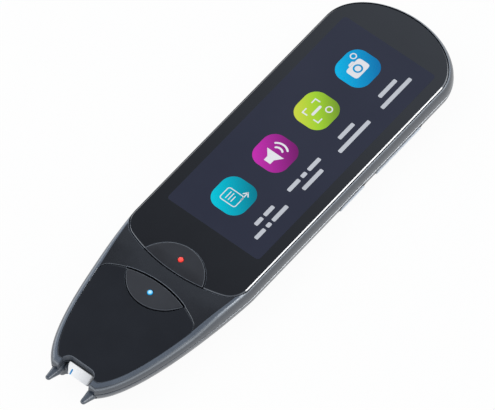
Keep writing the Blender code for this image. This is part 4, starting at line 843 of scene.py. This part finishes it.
def make_fork(material):
    back_y = BODY_TIP_Y + FRAME_WALL + SEAT_GAP
    low = (-BRIDGE_HALF_WIDTH, BRIDGE_LOW_Y, PRONG_Z - BRIDGE_HALF_HEIGHT)
    high = (BRIDGE_HALF_WIDTH, BRIDGE_HIGH_Y, PRONG_Z + BRIDGE_HALF_HEIGHT)
    piece = finished(block("nib_prongs", low, high), "nib_fork", material)
    parts = []
    for side in (-1, 1):
        x = side * PRONG_X
        parts.append(prong(f"prong_{side}", x, back_y))
        low = (x - ARM_HALF_WIDTH, back_y - ARM_HALF_WIDTH, PRONG_Z - ARM_HALF_HEIGHT)
        parts.append(block(f"arm_{side}", low, (x + ARM_HALF_WIDTH, ARM_BACK_Y, PRONG_Z + ARM_HALF_HEIGHT)))
    return shape(piece, parts, "UNION", 35)


# The hood's sizes
HOOD_FRONT_Y = BODY_TIP_Y + 0.9 * MM
HOOD_BACK_Y = -62.5 * MM
HOOD_BACK_HALF = 3.0 * MM
HOOD_WALL = 0.7 * MM
HOOD_CHIN = 2.3 * MM
HOOD_FALL = 1.8 * MM
HOOD_FALL_START = 0.4 * MM
HOOD_FALL_POWER = 1.15
HOOD_BULGE = 0.3 * MM
HOOD_CAP_RUN = 0.5 * MM
HOOD_CAP_EDGE = ((0.3 * MM, 0.4 * MM), (0.38 * MM, 0.12 * MM), (HOOD_CAP_RUN, 0.02 * MM))
HOOD_CORNER_WIDTH = 1.4 * MM
HOOD_CORNER_DEPTH = 2.1 * MM
HOOD_LOW_Z = back_height(HOOD_FRONT_Y) + SHELL_WALL + SEAT_GAP
HOOD_TOP_Z = NOSE_CEILING_Z - SEAT_GAP
HOOD_CAP_Z = HOOD_TOP_Z + 1.85 * MM
HOOD_CAP_Y = BODY_TIP_Y + NOTCH_DEPTH - SEAT_GAP
HOOD_HALF = 4.05 * MM
HOOD_MARK = (-1.95 * MM, -72.72 * MM, 0.48 * MM, 1.34 * MM, 0.12 * MM)
LINER = (-4.46 * MM, -71.1 * MM, 0.72 * MM, 2.8 * MM, 0.3 * MM)
LINER_LOW_Z = 5.0 * MM
LINER_HIGH_Z = 8.3 * MM


def cap_height(y):
    """Height of the hood's cap, which falls from its back to its lip."""
    start = HOOD_CAP_Y - HOOD_FALL_START
    share = (start - y) / (start - HOOD_FRONT_Y)
    return HOOD_CAP_Z - HOOD_FALL * clamped(share) ** HOOD_FALL_POWER


def make_hood(material):
    def section(y, half, top, wall, chin, corner):
        outline = rounded_rectangle(0, (HOOD_LOW_Z + top) / 2, 2 * (half - wall),
                                    top - HOOD_LOW_Z - 2 * wall, corner, 6)
        if wall == 0 and half == HOOD_HALF:
            outline = [(x + HOOD_BULGE * (x > 0) * (z > HOOD_TOP_Z), z) for x, z in outline]
        slope = chin / (top - HOOD_LOW_Z)
        return [bm.verts.new((x, y + slope * (top - z), z)) for x, z in outline]

    def sections(wall, corner):
        cap_y = HOOD_CAP_Y - wall
        rows = [(HOOD_BACK_Y, HOOD_BACK_HALF, HOOD_TOP_Z, 0), (cap_y, HOOD_HALF, HOOD_TOP_Z, 0)]
        rows += [(cap_y - run, HOOD_HALF, HOOD_CAP_Z - fall, 0) for run, fall in HOOD_CAP_EDGE]
        for step in range(1, 9):
            share = step / 8
            y = (cap_y - HOOD_CAP_RUN) * (1 - share) + HOOD_FRONT_Y * share
            rows.append((y, HOOD_HALF, cap_height(y), HOOD_CHIN * share))
        return [section(y, half, top, wall, chin, corner) for y, half, top, chin in rows]

    bm = bmesh.new()
    loops = sections(0, 0.5 * MM) + sections(HOOD_WALL, 0.2 * MM)[::-1]
    wrap(bm, loops + loops[:1], ends=False)
    piece = outward_object("light_hood", bm, "pen", [material], 40)
    near, far = HOOD_FRONT_Y - OVERRUN, HOOD_FRONT_Y + HOOD_CORNER_DEPTH
    left, middle = -HOOD_HALF - OVERRUN, -HOOD_HALF + HOOD_CORNER_WIDTH
    outline = [(left, near), (middle, near), (middle, HOOD_FRONT_Y), (-HOOD_HALF, far), (left, far)]
    return shape(piece, [prism("corner_cut", outline, 0, GLASS_TOP_Z)], sharp=40)


def make_liners(material):
    """Two upright walls that close the duct's sides beside the prongs."""
    outline = rounded_rectangle(*LINER, 6)
    piece = finished(prism("notch_liner", outline, LINER_LOW_Z, LINER_HIGH_Z), "pen", material)
    other = [(-x, y) for x, y in reversed(outline)]
    return shape(piece, [prism("liner_tool", other, LINER_LOW_Z, LINER_HIGH_Z)], "UNION")


def make_hood_mark(material):
    """Coloured mark on the cap, over the line that the scanner reads."""
    bm = bmesh.new()
    outline = rounded_rectangle(*HOOD_MARK, 5)
    wrap(bm, [[bm.verts.new((x, y, cap_height(y) + lift * MM)) for x, y in outline] for lift in (-0.1, 0.03)])
    return outward_object("hood_mark", bm, "pen", [material])


# Materials
def tone(red, green, blue):
    """Linear colour of an 8-bit tone as it shows on a screen."""
    linear = []
    for value in (red, green, blue):
        share = value / 255
        linear.append(share / 12.92 if share <= 0.04045 else ((share + 0.055) / 1.055) ** 2.4)
    return (*linear, 1.0)


def feed(tree, socket, value):
    """Set a socket to a value, or link it to another node's output."""
    if isinstance(value, bpy.types.NodeSocket):
        tree.links.new(value, socket)
    else:
        socket.default_value = value


def add_node(tree, kind, inputs=None, **settings):
    """A node with its settings, and with sockets fed by name or number."""
    made = tree.nodes.new(kind)
    for setting, value in settings.items():
        setattr(made, setting, value)
    for socket, value in (inputs or {}).items():
        feed(tree, made.inputs[socket], value)
    return made


def dress(material, inputs):
    """Feed the material's shader by the names of its sockets."""
    shader = material.node_tree.nodes["Principled BSDF"]
    for socket, value in inputs.items():
        feed(material.node_tree, shader.inputs[socket], value)


def computed(tree, operation, *terms):
    return add_node(tree, "ShaderNodeMath", dict(enumerate(terms)), operation=operation).outputs[0]


def vector_node(tree, operation, first, second):
    return add_node(tree, "ShaderNodeVectorMath", {0: first, 1: second}, operation=operation)


def own_place(tree):
    """The piece's own coordinates."""
    return tree.nodes.new("ShaderNodeTexCoord").outputs["Object"]


def noise(tree, scale, detail=3.0, stretch=None):
    """A noise over the piece's own coordinates, features per metre."""
    place = own_place(tree)
    if stretch is not None:
        place = add_node(tree, "ShaderNodeMapping", {"Vector": place, "Scale": stretch}).outputs["Vector"]
    inputs = {"Vector": place, "Scale": scale, "Detail": detail}
    return add_node(tree, "ShaderNodeTexNoise", inputs).outputs["Fac"]


def ranged(tree, value, low, high, start=0.3, end=0.7, curve="LINEAR"):
    inputs = {"Value": value, "From Min": start, "From Max": end, "To Min": low, "To Max": high}
    return add_node(tree, "ShaderNodeMapRange", inputs, interpolation_type=curve).outputs["Result"]


def blended(tree, factor, first, second):
    inputs = {"Factor": factor, "A": first, "B": second}
    return add_node(tree, "ShaderNodeMix", inputs, data_type="RGBA").outputs["Result"]


def bumped(tree, height, distance, strength=1.0):
    inputs = {"Strength": strength, "Distance": distance, "Height": height}
    return add_node(tree, "ShaderNodeBump", inputs).outputs["Normal"]


def surface(name, first, second, rough, relief=10, grain=2600.0, drift=120.0, stretch=None,
            metallic=0.0, ior=1.5):
    """A finish whose colour and roughness drift, with a fine grain on it.

    Tones are 8-bit, and the relief is in thousandths of a millimetre.
    """
    material = bpy.data.materials.new(name)
    material.use_nodes = True
    tree = material.node_tree
    fine = noise(tree, grain, 2.0, stretch)
    both = computed(tree, "MULTIPLY_ADD", fine, 0.6, noise(tree, drift * 3.1))
    dress(material, {
        "Metallic": metallic,
        "IOR": ior,
        "Base Color": blended(tree, ranged(tree, noise(tree, drift), 0, 1), tone(*first), tone(*second)),
        "Roughness": ranged(tree, both, *rough, 0.5, 1.1),
        "Normal": bumped(tree, fine, relief * MICRON, 0.25),
    })
    material.diffuse_color = tone(*first)
    return material


shell_dark = surface("shell_dark", (20, 21, 27), (25, 27, 33), (0.2, 0.28), relief=4, ior=1.55)
# Lighter copy of the frame's dark colour for its sides and roll: painted sheen
side_painted_sheen = surface("side_painted_sheen", (44, 49, 59), (52, 57, 67), (0.22, 0.28), relief=3, ior=1.95)
# Pale copy of the moulding's colour on the top of the roll: painted highlight
rim_painted_highlight = surface("rim_painted_highlight", (75, 84, 97), (87, 96, 109), (0.24, 0.3), relief=3, ior=1.85)
cover_dark = surface("cover_dark", (58, 62, 72), (66, 70, 80), (0.22, 0.3), relief=6, ior=1.85)
# Lighter colour on the chamfers and bevels of the mouldings and the plate: painted highlight along the edges
shell_edge_highlight = surface("shell_edge_highlight", (68, 74, 84), (80, 86, 96), (0.2, 0.28), relief=3, ior=1.6)
for moulded in (shell_dark, side_painted_sheen, rim_painted_highlight, cover_dark, shell_edge_highlight):
    dress(moulded, {"Specular Tint": (0.93, 0.97, 1, 1)})
wall_satin = surface("wall_satin", (70, 76, 85), (82, 88, 97), (0.3, 0.4), relief=6)
# The pane's edge facet is lighter than the pane: partly the ground edge's own tone, partly painted highlight
glass_edge = surface("glass_edge", (56, 62, 71), (66, 72, 82), (0.07, 0.1), relief=0.3, ior=1.9)
# Pale colour on the chamfers round the glass and its button hole: painted highlight lines
rim_highlight_line = surface("rim_highlight_line", (104, 111, 122), (116, 123, 134), (0.2, 0.28), relief=2)
# Near-black colour of the rings round the keys: painted shadow of the gap
gap_shadow_dark = surface("gap_shadow_dark", (10, 11, 14), (15, 16, 20), (0.4, 0.5), relief=3)
# Lighter colour on the buttons' rounded top edges: painted highlight
button_edge_highlight = surface("button_edge_highlight", (64, 69, 78), (74, 80, 89), (0.24, 0.32), relief=3)
black_glass = surface("black_glass", (9, 12, 19), (13, 16, 23), (0.03, 0.06), relief=0.5, drift=60)
nose_gloss = surface("nose_gloss", (16, 20, 28), (21, 25, 33), (0.06, 0.12), relief=2, drift=90)
button_satin = surface("button_satin", (25, 26, 32), (33, 35, 41), (0.3, 0.42), grain=4200, relief=12)
key_silver = surface("key_silver", (214, 221, 230), (226, 232, 240), (0.34, 0.42), relief=4,
                     grain=1800, metallic=0.25)
fork_grey = surface("fork_grey", (54, 64, 77), (66, 76, 89), (0.32, 0.42), relief=6, ior=1.8)
hood_white = surface("hood_white", (244, 246, 248), (250, 251, 252), (0.3, 0.4), relief=6)
# Painted light: a faint glow that brightens the hood in its recess, though its lamp is not lit
dress(hood_white, {"Emission Color": tone(250, 251, 252), "Emission Strength": 0.08})
mark_blue = surface("mark_blue", (0, 140, 206), (4, 152, 218), (0.3, 0.4), relief=2)
board_green = surface("board_green", (18, 74, 46), (28, 92, 58), (0.3, 0.45), relief=20, drift=400)
switch_black = surface("switch_black", (30, 30, 31), (42, 42, 43), (0.45, 0.6))
resin_clear = surface("resin_clear", (226, 224, 205), (238, 236, 220), (0.12, 0.2), relief=2)
steel_bright = surface("steel_bright", (168, 170, 174), (190, 192, 196), (0.22, 0.34), relief=4,
                       stretch=(1, 0.1, 1), metallic=1.0)
barrel_black = surface("barrel_black", (20, 21, 23), (30, 31, 33), (0.3, 0.4), relief=6)
battery_blue = surface("battery_blue", (52, 64, 84), (66, 78, 98), (0.3, 0.45), relief=20, drift=200)
can_gold = surface("can_gold", (196, 176, 120), (212, 192, 138), (0.25, 0.35), relief=3, metallic=1.0)
window_dark = surface("window_dark", (8, 9, 14), (14, 15, 22), (0.03, 0.06), relief=0.5)


def mesh_finish():
    """Woven wire cloth, from two crossed bands of wires."""
    material = surface("mesh_finish", (120, 122, 126), (142, 144, 148), (0.3, 0.4), metallic=1.0)
    tree = material.node_tree
    wires = []
    for direction in ("X", "Y"):
        inputs = {"Scale": 1100, "Vector": own_place(tree)}
        wires.append(add_node(tree, "ShaderNodeTexWave", inputs, bands_direction=direction).outputs["Fac"])
    top = computed(tree, "MAXIMUM", *wires)
    colour = blended(tree, ranged(tree, top, 0, 1, 0.4, 0.8), tone(18, 18, 20), tone(150, 152, 156))
    dress(material, {"Base Color": colour, "Normal": bumped(tree, top, 50 * MICRON)})
    return material


def painted_shade_across(material, reach, near, far):
    """Blend the base colour along the piece's X from one tone to another: a painted shade that darkens one
    side.
    """
    tree = material.node_tree
    parts = add_node(tree, "ShaderNodeSeparateXYZ", {0: own_place(tree)})
    share = ranged(tree, parts.outputs["X"], 0, 1, *reach)
    dress(material, {"Base Color": blended(tree, share, tone(*near), tone(*far))})


# Painted shade: the hood's white is darker towards its +X side
painted_shade_across(hood_white, (-1.5 * MM, 4.5 * MM), (250, 251, 252), (212, 213, 216))


def spot_finish(name, y, z, inner, outer):
    """A lit dot, paler in its middle than at its rim."""
    material = surface(name, outer, outer, (0.1, 0.16), relief=1)
    tree = material.node_tree
    away = vector_node(tree, "DISTANCE", own_place(tree), (0, y, z)).outputs["Value"]
    share = ranged(tree, away, 0, 1, 0.15 * LIGHT_RADIUS, 0.95 * LIGHT_RADIUS)
    colour = blended(tree, share, tone(*inner), tone(*outer))
    dress(material, {"Base Color": colour, "Emission Color": colour, "Emission Strength": 0.3})
    return material


def shown_light(name, first, second, grain=2600.0):
    """A printed or lit area of the display, bonded and so barely shiny."""
    material = surface(name, first, second, (0.03, 0.06), relief=0.5, grain=grain, drift=60)
    dress(material, {"Specular IOR Level": 0.12, "Emission Color": tone(*first), "Emission Strength": GLOW})
    return material


def ramp_finish(name, y, tones):
    """A display tile, shaded from one corner to the corner across from it."""
    material = shown_light(name, tones[0], tones[0])
    tree = material.node_tree
    from_centre = vector_node(tree, "SUBTRACT", own_place(tree), (TILE_X, y, 0)).outputs["Vector"]
    along = vector_node(tree, "DOT_PRODUCT", from_centre, (0.7071, 0.7071, 0)).outputs["Value"]
    reach = 0.62 * TILE_SIZE
    ramp = add_node(tree, "ShaderNodeValToRGB", {"Fac": ranged(tree, along, 0, 1, -reach, reach)})
    while len(ramp.color_ramp.elements) < len(tones):
        ramp.color_ramp.elements.new(0.5)
    for number, colour in enumerate(tones):
        ramp.color_ramp.elements[number].position = number / (len(tones) - 1)
        ramp.color_ramp.elements[number].color = tone(*colour)
    colour = ramp.outputs["Color"]
    dress(material, {"Base Color": colour, "Emission Color": colour})
    return material


GLOW = 0.12
screen_dark = shown_light("screen_dark", (43, 46, 61), (46, 49, 64), 5000)
sign_white = shown_light("sign_white", (218, 218, 222), (226, 226, 230))
label_grey = shown_light("label_grey", (182, 185, 192), (194, 197, 204))


# Display: a lit panel with four tiles, their signs and label bars
SCREEN_Z = GLASS_TOP_Z + 0.006 * MM
TILE_Z = GLASS_TOP_Z + 0.016 * MM
SIGN_Z = GLASS_TOP_Z + 0.028 * MM
SCREEN_LOW_Z = GLASS_TOP_Z - 0.03 * MM
SCREEN = (0.15 * MM, 25.8 * MM, 33.9 * MM, 79.1 * MM, 1.1 * MM)
TILE_X = -2.2 * MM
TILES = (-1.5 * MM, 16.8 * MM, 35.2 * MM, 53.6 * MM)
TILE_SIZE = 11.8 * MM
TILE_CORNER = 4.2 * MM
LABEL_WIDTH = 1.3 * MM
LABEL_CORNER = 0.35 * MM
OVERLAP = 0.002 * MM


def sheet_piece(name, shapes, low, high, material):
    """One thin piece of flat shapes: outlines, or pairs that bound a ring."""
    bm = bmesh.new()
    for entry in shapes:
        loops = entry if isinstance(entry, tuple) else (entry,)
        ends = [[[bm.verts.new((x, y, level)) for x, y in loop] for level in (low, high)] for loop in loops]
        for pair in ends:
            wrap(bm, pair, len(loops) == 1)
        if len(loops) == 2:
            wrap(bm, [ends[0][0], ends[1][0]], False)
            wrap(bm, [ends[0][1], ends[1][1]], False)
    piece = outward_object(name, bm, "pen", [material])
    return piece


def moved_path(path, reach, closed):
    """A path moved to its left, mitred at its corners."""
    moved = []
    count = len(path)
    for number, point in enumerate(path):
        pairs = []
        if closed or number > 0:
            pairs.append((path[number - 1], point))
        if closed or number + 1 < count:
            pairs.append((point, path[(number + 1) % count]))
        sides = [Vector((a[1] - b[1], b[0] - a[0])).normalized() for a, b in pairs]
        mean = sum(sides, Vector((0, 0))).normalized()
        moved.append(tuple(Vector(point) + mean * reach / mean.dot(sides[0])))
    return moved


def stroke(path, width, closed=False):
    """A line of even width along a path, with round ends where it is open."""
    half = width / 2
    left = moved_path(path, half, closed)
    right = moved_path(path, -half, closed)
    if closed:
        return (right, left)
    start = bearing(path[1][0] - path[0][0], path[1][1] - path[0][1])
    end = bearing(path[-1][0] - path[-2][0], path[-1][1] - path[-2][1])
    front = arc_points(path[-1], half, end - 72, end + 90, 9)
    back = arc_points(path[0], half, start + 108, start + 270, 9)
    return right + front + left[::-1] + back


def circle(centre, radius, steps=40):
    return arc_points(centre, radius, 0, 360, steps)


def placed(entry, y):
    """Turn a sign's own right and up into the display's, on the tile at y."""
    if isinstance(entry, tuple):
        return tuple(placed(loop, y) for loop in entry)
    return [(TILE_X - up * MM, y + right * MM) for right, up in entry]


def squarish(half_right, half_up, power, steps):
    points = []
    for c, s in turns(steps, 2 * math.pi, last=0):
        reach = ((abs(c) / half_right) ** power + (abs(s) / half_up) ** power) ** (-1 / power)
        points.append((reach * c, reach * s))
    return points


def page_sign():
    page = rounded_rectangle(-0.7, 0.2, 4.4, 5.6, 0.7, 5)
    rows = ((1.5, 0.6), (0.5, 0.6), (-0.5, 0.0))
    lines = [stroke([(-1.9, up), (end, up)], 0.3) for up, end in rows]
    shaft = stroke([(0.2, -2.5), (3.2, -2.5)], 0.34)
    head = stroke([(2.2, -1.6), (3.3, -2.5), (2.2, -3.4)], 0.34)
    return [stroke(page, 0.3, True), *lines, shaft, head]


def sound_sign():
    body = [(-3.7, -1.2), (-2.1, -1.2), (0.1, -3.1), (0.1, 3.1), (-2.1, 1.2), (-3.7, 1.2)]
    waves = [arc_points((0.2, 0), radius, -42, 42 + 84 / 13, 14) for radius in (1.9, 3.4)]
    return [body, *(stroke(wave, 0.62) for wave in waves)]


def frame_sign():
    shapes = []
    for side_r, side_u in ((1, 1), (-1, 1), (-1, -1)):
        r, u = 2.9 * side_r, 2.9 * side_u
        shapes.append(stroke([(r - 1.6 * side_r, u), (r, u), (r, u - 1.6 * side_u)], 0.42))
    bar = stroke([(-1.6, 0.1), (1.6, 0.1)], 0.9)
    return [*shapes, bar, (circle((2.5, -2.5), 1.15), circle((2.5, -2.5), 0.75))]


def picture_sign():
    body = (squarish(3.1, 2.2, 6, 60), circle((0, 0), 1.5, 60))
    hump = [(-1.2, 2.15), (1.2, 2.15), (0.8, 2.9), (-0.8, 2.9)]
    ring = (circle((2.5, 3.75), 1.05), circle((2.5, 3.75), 0.7))
    return [body, circle((0, 0), 0.95), hump, ring]


def label_bar(x, low_y, high_y):
    """A plain bar for words, from its place in millimetres."""
    middle, length = (low_y + high_y) / 2, high_y - low_y
    return rounded_rectangle(x * MM, middle * MM, LABEL_WIDTH, length * MM, LABEL_CORNER, 4)


def make_display():
    sheet_piece("screen_panel", [rounded_rectangle(*SCREEN, 8)], SCREEN_LOW_Z, SCREEN_Z, screen_dark)
    looks = (
        ("cyan", ((0, 196, 216), (0, 160, 182), (0, 112, 132)), page_sign()),
        ("magenta", ((198, 46, 174), (158, 36, 142), (106, 22, 94)), sound_sign()),
        ("green", ((206, 210, 68), (158, 204, 48), (104, 138, 40)), frame_sign()),
        ("blue", ((0, 178, 226), (0, 144, 198), (0, 104, 162)), picture_sign()),
    )
    labels = (
        ((8.85, -5.2, -2.1), (8.85, -1.2, 2.8), (11.85, -8.7, -4.6), (11.85, -3.7, -2.0), (11.85, -1.1, 5.3)),
        ((8.85, 9.3, 14.2), (8.85, 15.2, 17.2), (8.85, 18.2, 23.3), (11.85, 12.3, 20.8)),
        ((8.85, 31.8, 38.3), (11.85, 28.3, 41.8)),
        ((8.85, 49.8, 57.3), (11.85, 47.3, 60.3)),
    )
    for (name, tones, sign), bars, y in zip(looks, labels, TILES):
        look = ramp_finish(f"{name}_tile_look", y, tones)
        outline = rounded_rectangle(TILE_X, y, TILE_SIZE, TILE_SIZE, TILE_CORNER)
        sheet_piece(f"{name}_tile", [outline], SCREEN_Z - OVERLAP, TILE_Z, look)
        shapes = [placed(entry, y) for entry in sign]
        sheet_piece(f"{name}_sign", shapes, TILE_Z - OVERLAP, SIGN_Z, sign_white)
        outlines = [label_bar(*bar) for bar in bars]
        sheet_piece(f"{name}_label", outlines, SCREEN_Z - OVERLAP, TILE_Z, label_grey)


# Put the pieces together; the mark, liners, the dark rings of painted gap shadow round the keys and the
# display stand for no solid
def stand_for(piece, node):
    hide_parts(node)


frame_looks = (shell_dark, shell_edge_highlight, wall_satin, side_painted_sheen, rim_highlight_line, rim_painted_highlight)
stand_for(make_frame(*frame_looks), "front_frame")
stand_for(make_cover(cover_dark, shell_edge_highlight, wall_satin), "rear_cover")
stand_for(make_glass(black_glass, glass_edge, rim_highlight_line), "cover_glass")
stand_for(make_nose(nose_gloss, shell_edge_highlight, wall_satin), "nose_plate")
home = make_button("home_cap", home_outline, HOME_FLANGE_Z, HOME_LIGHT_Y, home_face, "home_button")
stand_for(home, "home_button")
select = make_button("select_cap", select_edge, SELECT_FLANGE_Z, SELECT_LIGHT_Y, select_face, "select_button")
stand_for(select, "select_button")
stand_for(make_key("rocker_key", *ROCKER, "volume_rocker", key_silver), "volume_rocker")
stand_for(make_key("power_key", *POWER, "power_button", key_silver), "power_button")
stand_for(make_fork(fork_grey), "nib_fork")
stand_for(make_hood(hood_white), "light_shroud")
make_hood_mark(mark_blue)
make_liners(wall_satin)
make_key_gap_shadow("rocker_gap_shadow", *ROCKER, gap_shadow_dark)
make_key_gap_shadow("power_gap_shadow", *POWER, gap_shadow_dark)
make_display()
red_spot = spot_finish("red_spot", HOME_LIGHT_Y, BUTTON_TOP_Z, (250, 88, 76), (242, 58, 50))
blue_spot = spot_finish("blue_spot", SELECT_LIGHT_Y, SELECT_FACE_Z, (200, 240, 242), (0, 164, 228))
red_top = BUTTON_TOP_Z + LIGHT_PROUD
red_dome = make_light("home_light_dome", HOME_LIGHT_Y, HOME_LIGHT_LOW_Z, red_top, "home_button", red_spot)
stand_for(red_dome, "home_button_light")
blue_top = SELECT_FACE_Z + LIGHT_PROUD
blue_dome = make_light("select_light_dome", SELECT_LIGHT_Y, SELECT_LIGHT_LOW_Z, blue_top, "select_button",
                       blue_spot)
stand_for(blue_dome, "select_button_light")

# Finish of each slot, given to the solids
finishes = {
    "shell_plastic": shell_dark,
    "cover_plastic": cover_dark,
    "cover_glass": black_glass,
    "gloss_black": nose_gloss,
    "display": barrel_black,
    "button_plastic": button_satin,
    "red_light": red_spot,
    "blue_light": blue_spot,
    "lamp_resin": resin_clear,
    "key_metal": key_silver,
    "circuit_board": board_green,
    "switch_plastic": switch_black,
    "nib_plastic": fork_grey,
    "white_plastic": hood_white,
    "lens_barrel": barrel_black,
    "steel": steel_bright,
    "battery_wrap": battery_blue,
    "mesh_steel": mesh_finish(),
    "window_glass": window_dark,
    "microphone_can": can_gold,
}
slot_of = {part["node"]: part["material_slot"] for part in frame["record"]["subparts"]}
for node_name, node in frame["nodes"].items():
    finish = finishes[slot_of[node_name]]
    for material_slot in node.material_slots:
        material_slot.material = finish


# Studio: pale floor, soft light and the camera
def mixed(tree, factor, first, second):
    """A mix of two shaders."""
    return add_node(tree, "ShaderNodeMixShader", {0: factor, 1: first, 2: second}).outputs[0]


def add_floor():
    mesh = bpy.data.meshes.new("floor")
    corners = [(FLOOR_HALF * x, FLOOR_HALF * y, 0) for x, y in ((-1, -1), (1, -1), (1, 1), (-1, 1))]
    mesh.from_pydata(corners, [], [(0, 1, 2, 3)])
    floor = bpy.data.objects.new("floor", mesh)
    floor.location = (0, 0, -FLOOR_DROP)
    scene.collection.objects.link(floor)
    material = bpy.data.materials.new("pale_floor")
    material.use_nodes = True
    tree = material.node_tree
    tree.nodes.remove(tree.nodes["Principled BSDF"])
    rays = tree.nodes.new("ShaderNodeLightPath").outputs
    matt = add_node(tree, "ShaderNodeBsdfDiffuse", {"Color": (0.86, 0.87, 0.88, 1)}).outputs[0]
    white = add_node(tree, "ShaderNodeEmission", {"Color": WHITE, "Strength": 1.0}).outputs[0]
    through = computed(tree, "MAXIMUM", rays["Is Glossy Ray"], rays["Is Transmission Ray"])
    seen = computed(tree, "MAXIMUM", rays["Is Camera Ray"], through)
    both = mixed(tree, computed(tree, "MULTIPLY", seen, FLOOR_WHITENESS), matt, white)
    feed(tree, tree.nodes["Material Output"].inputs["Surface"], both)
    mesh.materials.append(material)


def add_world():
    world = bpy.data.worlds.new("studio")
    scene.world = world
    world.use_nodes = True
    tree = world.node_tree
    tree.nodes.clear()

    def glow(colour, strength=1.0):
        return add_node(tree, "ShaderNodeBackground", {"Color": colour, "Strength": strength}).outputs[0]

    rays = tree.nodes.new("ShaderNodeLightPath").outputs
    place = tree.nodes.new("ShaderNodeTexCoord").outputs["Generated"]
    parts = add_node(tree, "ShaderNodeSeparateXYZ", {0: place}).outputs
    far = ranged(tree, parts["Y"], 0, 1, 0.368, 0.428, "SMOOTHSTEP")
    over = blended(tree, far, CEILING, FAR_CEILING)
    ceiling = blended(tree, ranged(tree, parts["Z"], 0, 1, 0.22, 0.6), HORIZON, over)
    soft = glow((0.96, 0.98, 1, 1), WORLD_LIGHT)
    lit = mixed(tree, rays["Is Glossy Ray"], soft, glow(ceiling))
    seen = computed(tree, "MAXIMUM", rays["Is Camera Ray"], rays["Is Transmission Ray"])
    add_node(tree, "ShaderNodeOutputWorld", {"Surface": mixed(tree, seen, lit, glow(WHITE))})


def add_lamp(name, direction, distance, size, radiance, in_colour, in_gloss):
    """A rectangular soft lamp or card that faces the pen from a direction."""
    lamp = bpy.data.lights.new(name, "AREA")
    lamp.shape = "RECTANGLE"
    lamp.size, lamp.size_y = size
    lamp.energy = radiance * math.pi * size[0] * size[1]
    holder = bpy.data.objects.new(name, lamp)
    towards = Vector(direction).normalized()
    holder.location = towards * distance
    holder.rotation_euler = towards.to_track_quat("Z", "Y").to_euler()
    holder.visible_diffuse = in_colour
    holder.visible_glossy = in_gloss
    holder.visible_camera = False
    scene.collection.objects.link(holder)


WHITE = (1, 1, 1, 1)
HORIZON = (2.3, 2.4, 2.5, 1)
CEILING = (0.36, 0.38, 0.42, 1)
FAR_CEILING = (1.02, 1.12, 1.28, 1)
WORLD_LIGHT = 0.82
FLOOR_HALF = 3
FLOOR_DROP = 0.05 * MM
FLOOR_WHITENESS = 0.95
add_floor()
add_world()
add_lamp("key", (-0.42, -0.05, 0.9), 0.9, (0.6, 0.6), 1.08, True, False)
add_lamp("side_card", (0.84, 0.39, 0.38), 0.8, (0.36, 0.28), 10.0, False, True)

camera_data = bpy.data.cameras.new("camera")
camera_data.lens = 521.8
camera_data.sensor_width = 36
camera_data.sensor_fit = "HORIZONTAL"
camera_data.clip_start = 0.1
camera_data.clip_end = 20
camera = bpy.data.objects.new("camera", camera_data)
camera_place = (0.77735, -0.7848, 1.7157)
camera_turn = Matrix(((0.7642, 0.6429, -0.0518), (-0.5198, 0.6614, 0.5406), (0.3819, -0.3862, 0.8397)))
camera.matrix_world = Matrix.Translation(camera_place) @ camera_turn.transposed().to_4x4()
scene.collection.objects.link(camera)
scene.camera = camera
scene.view_settings.view_transform = "Standard"
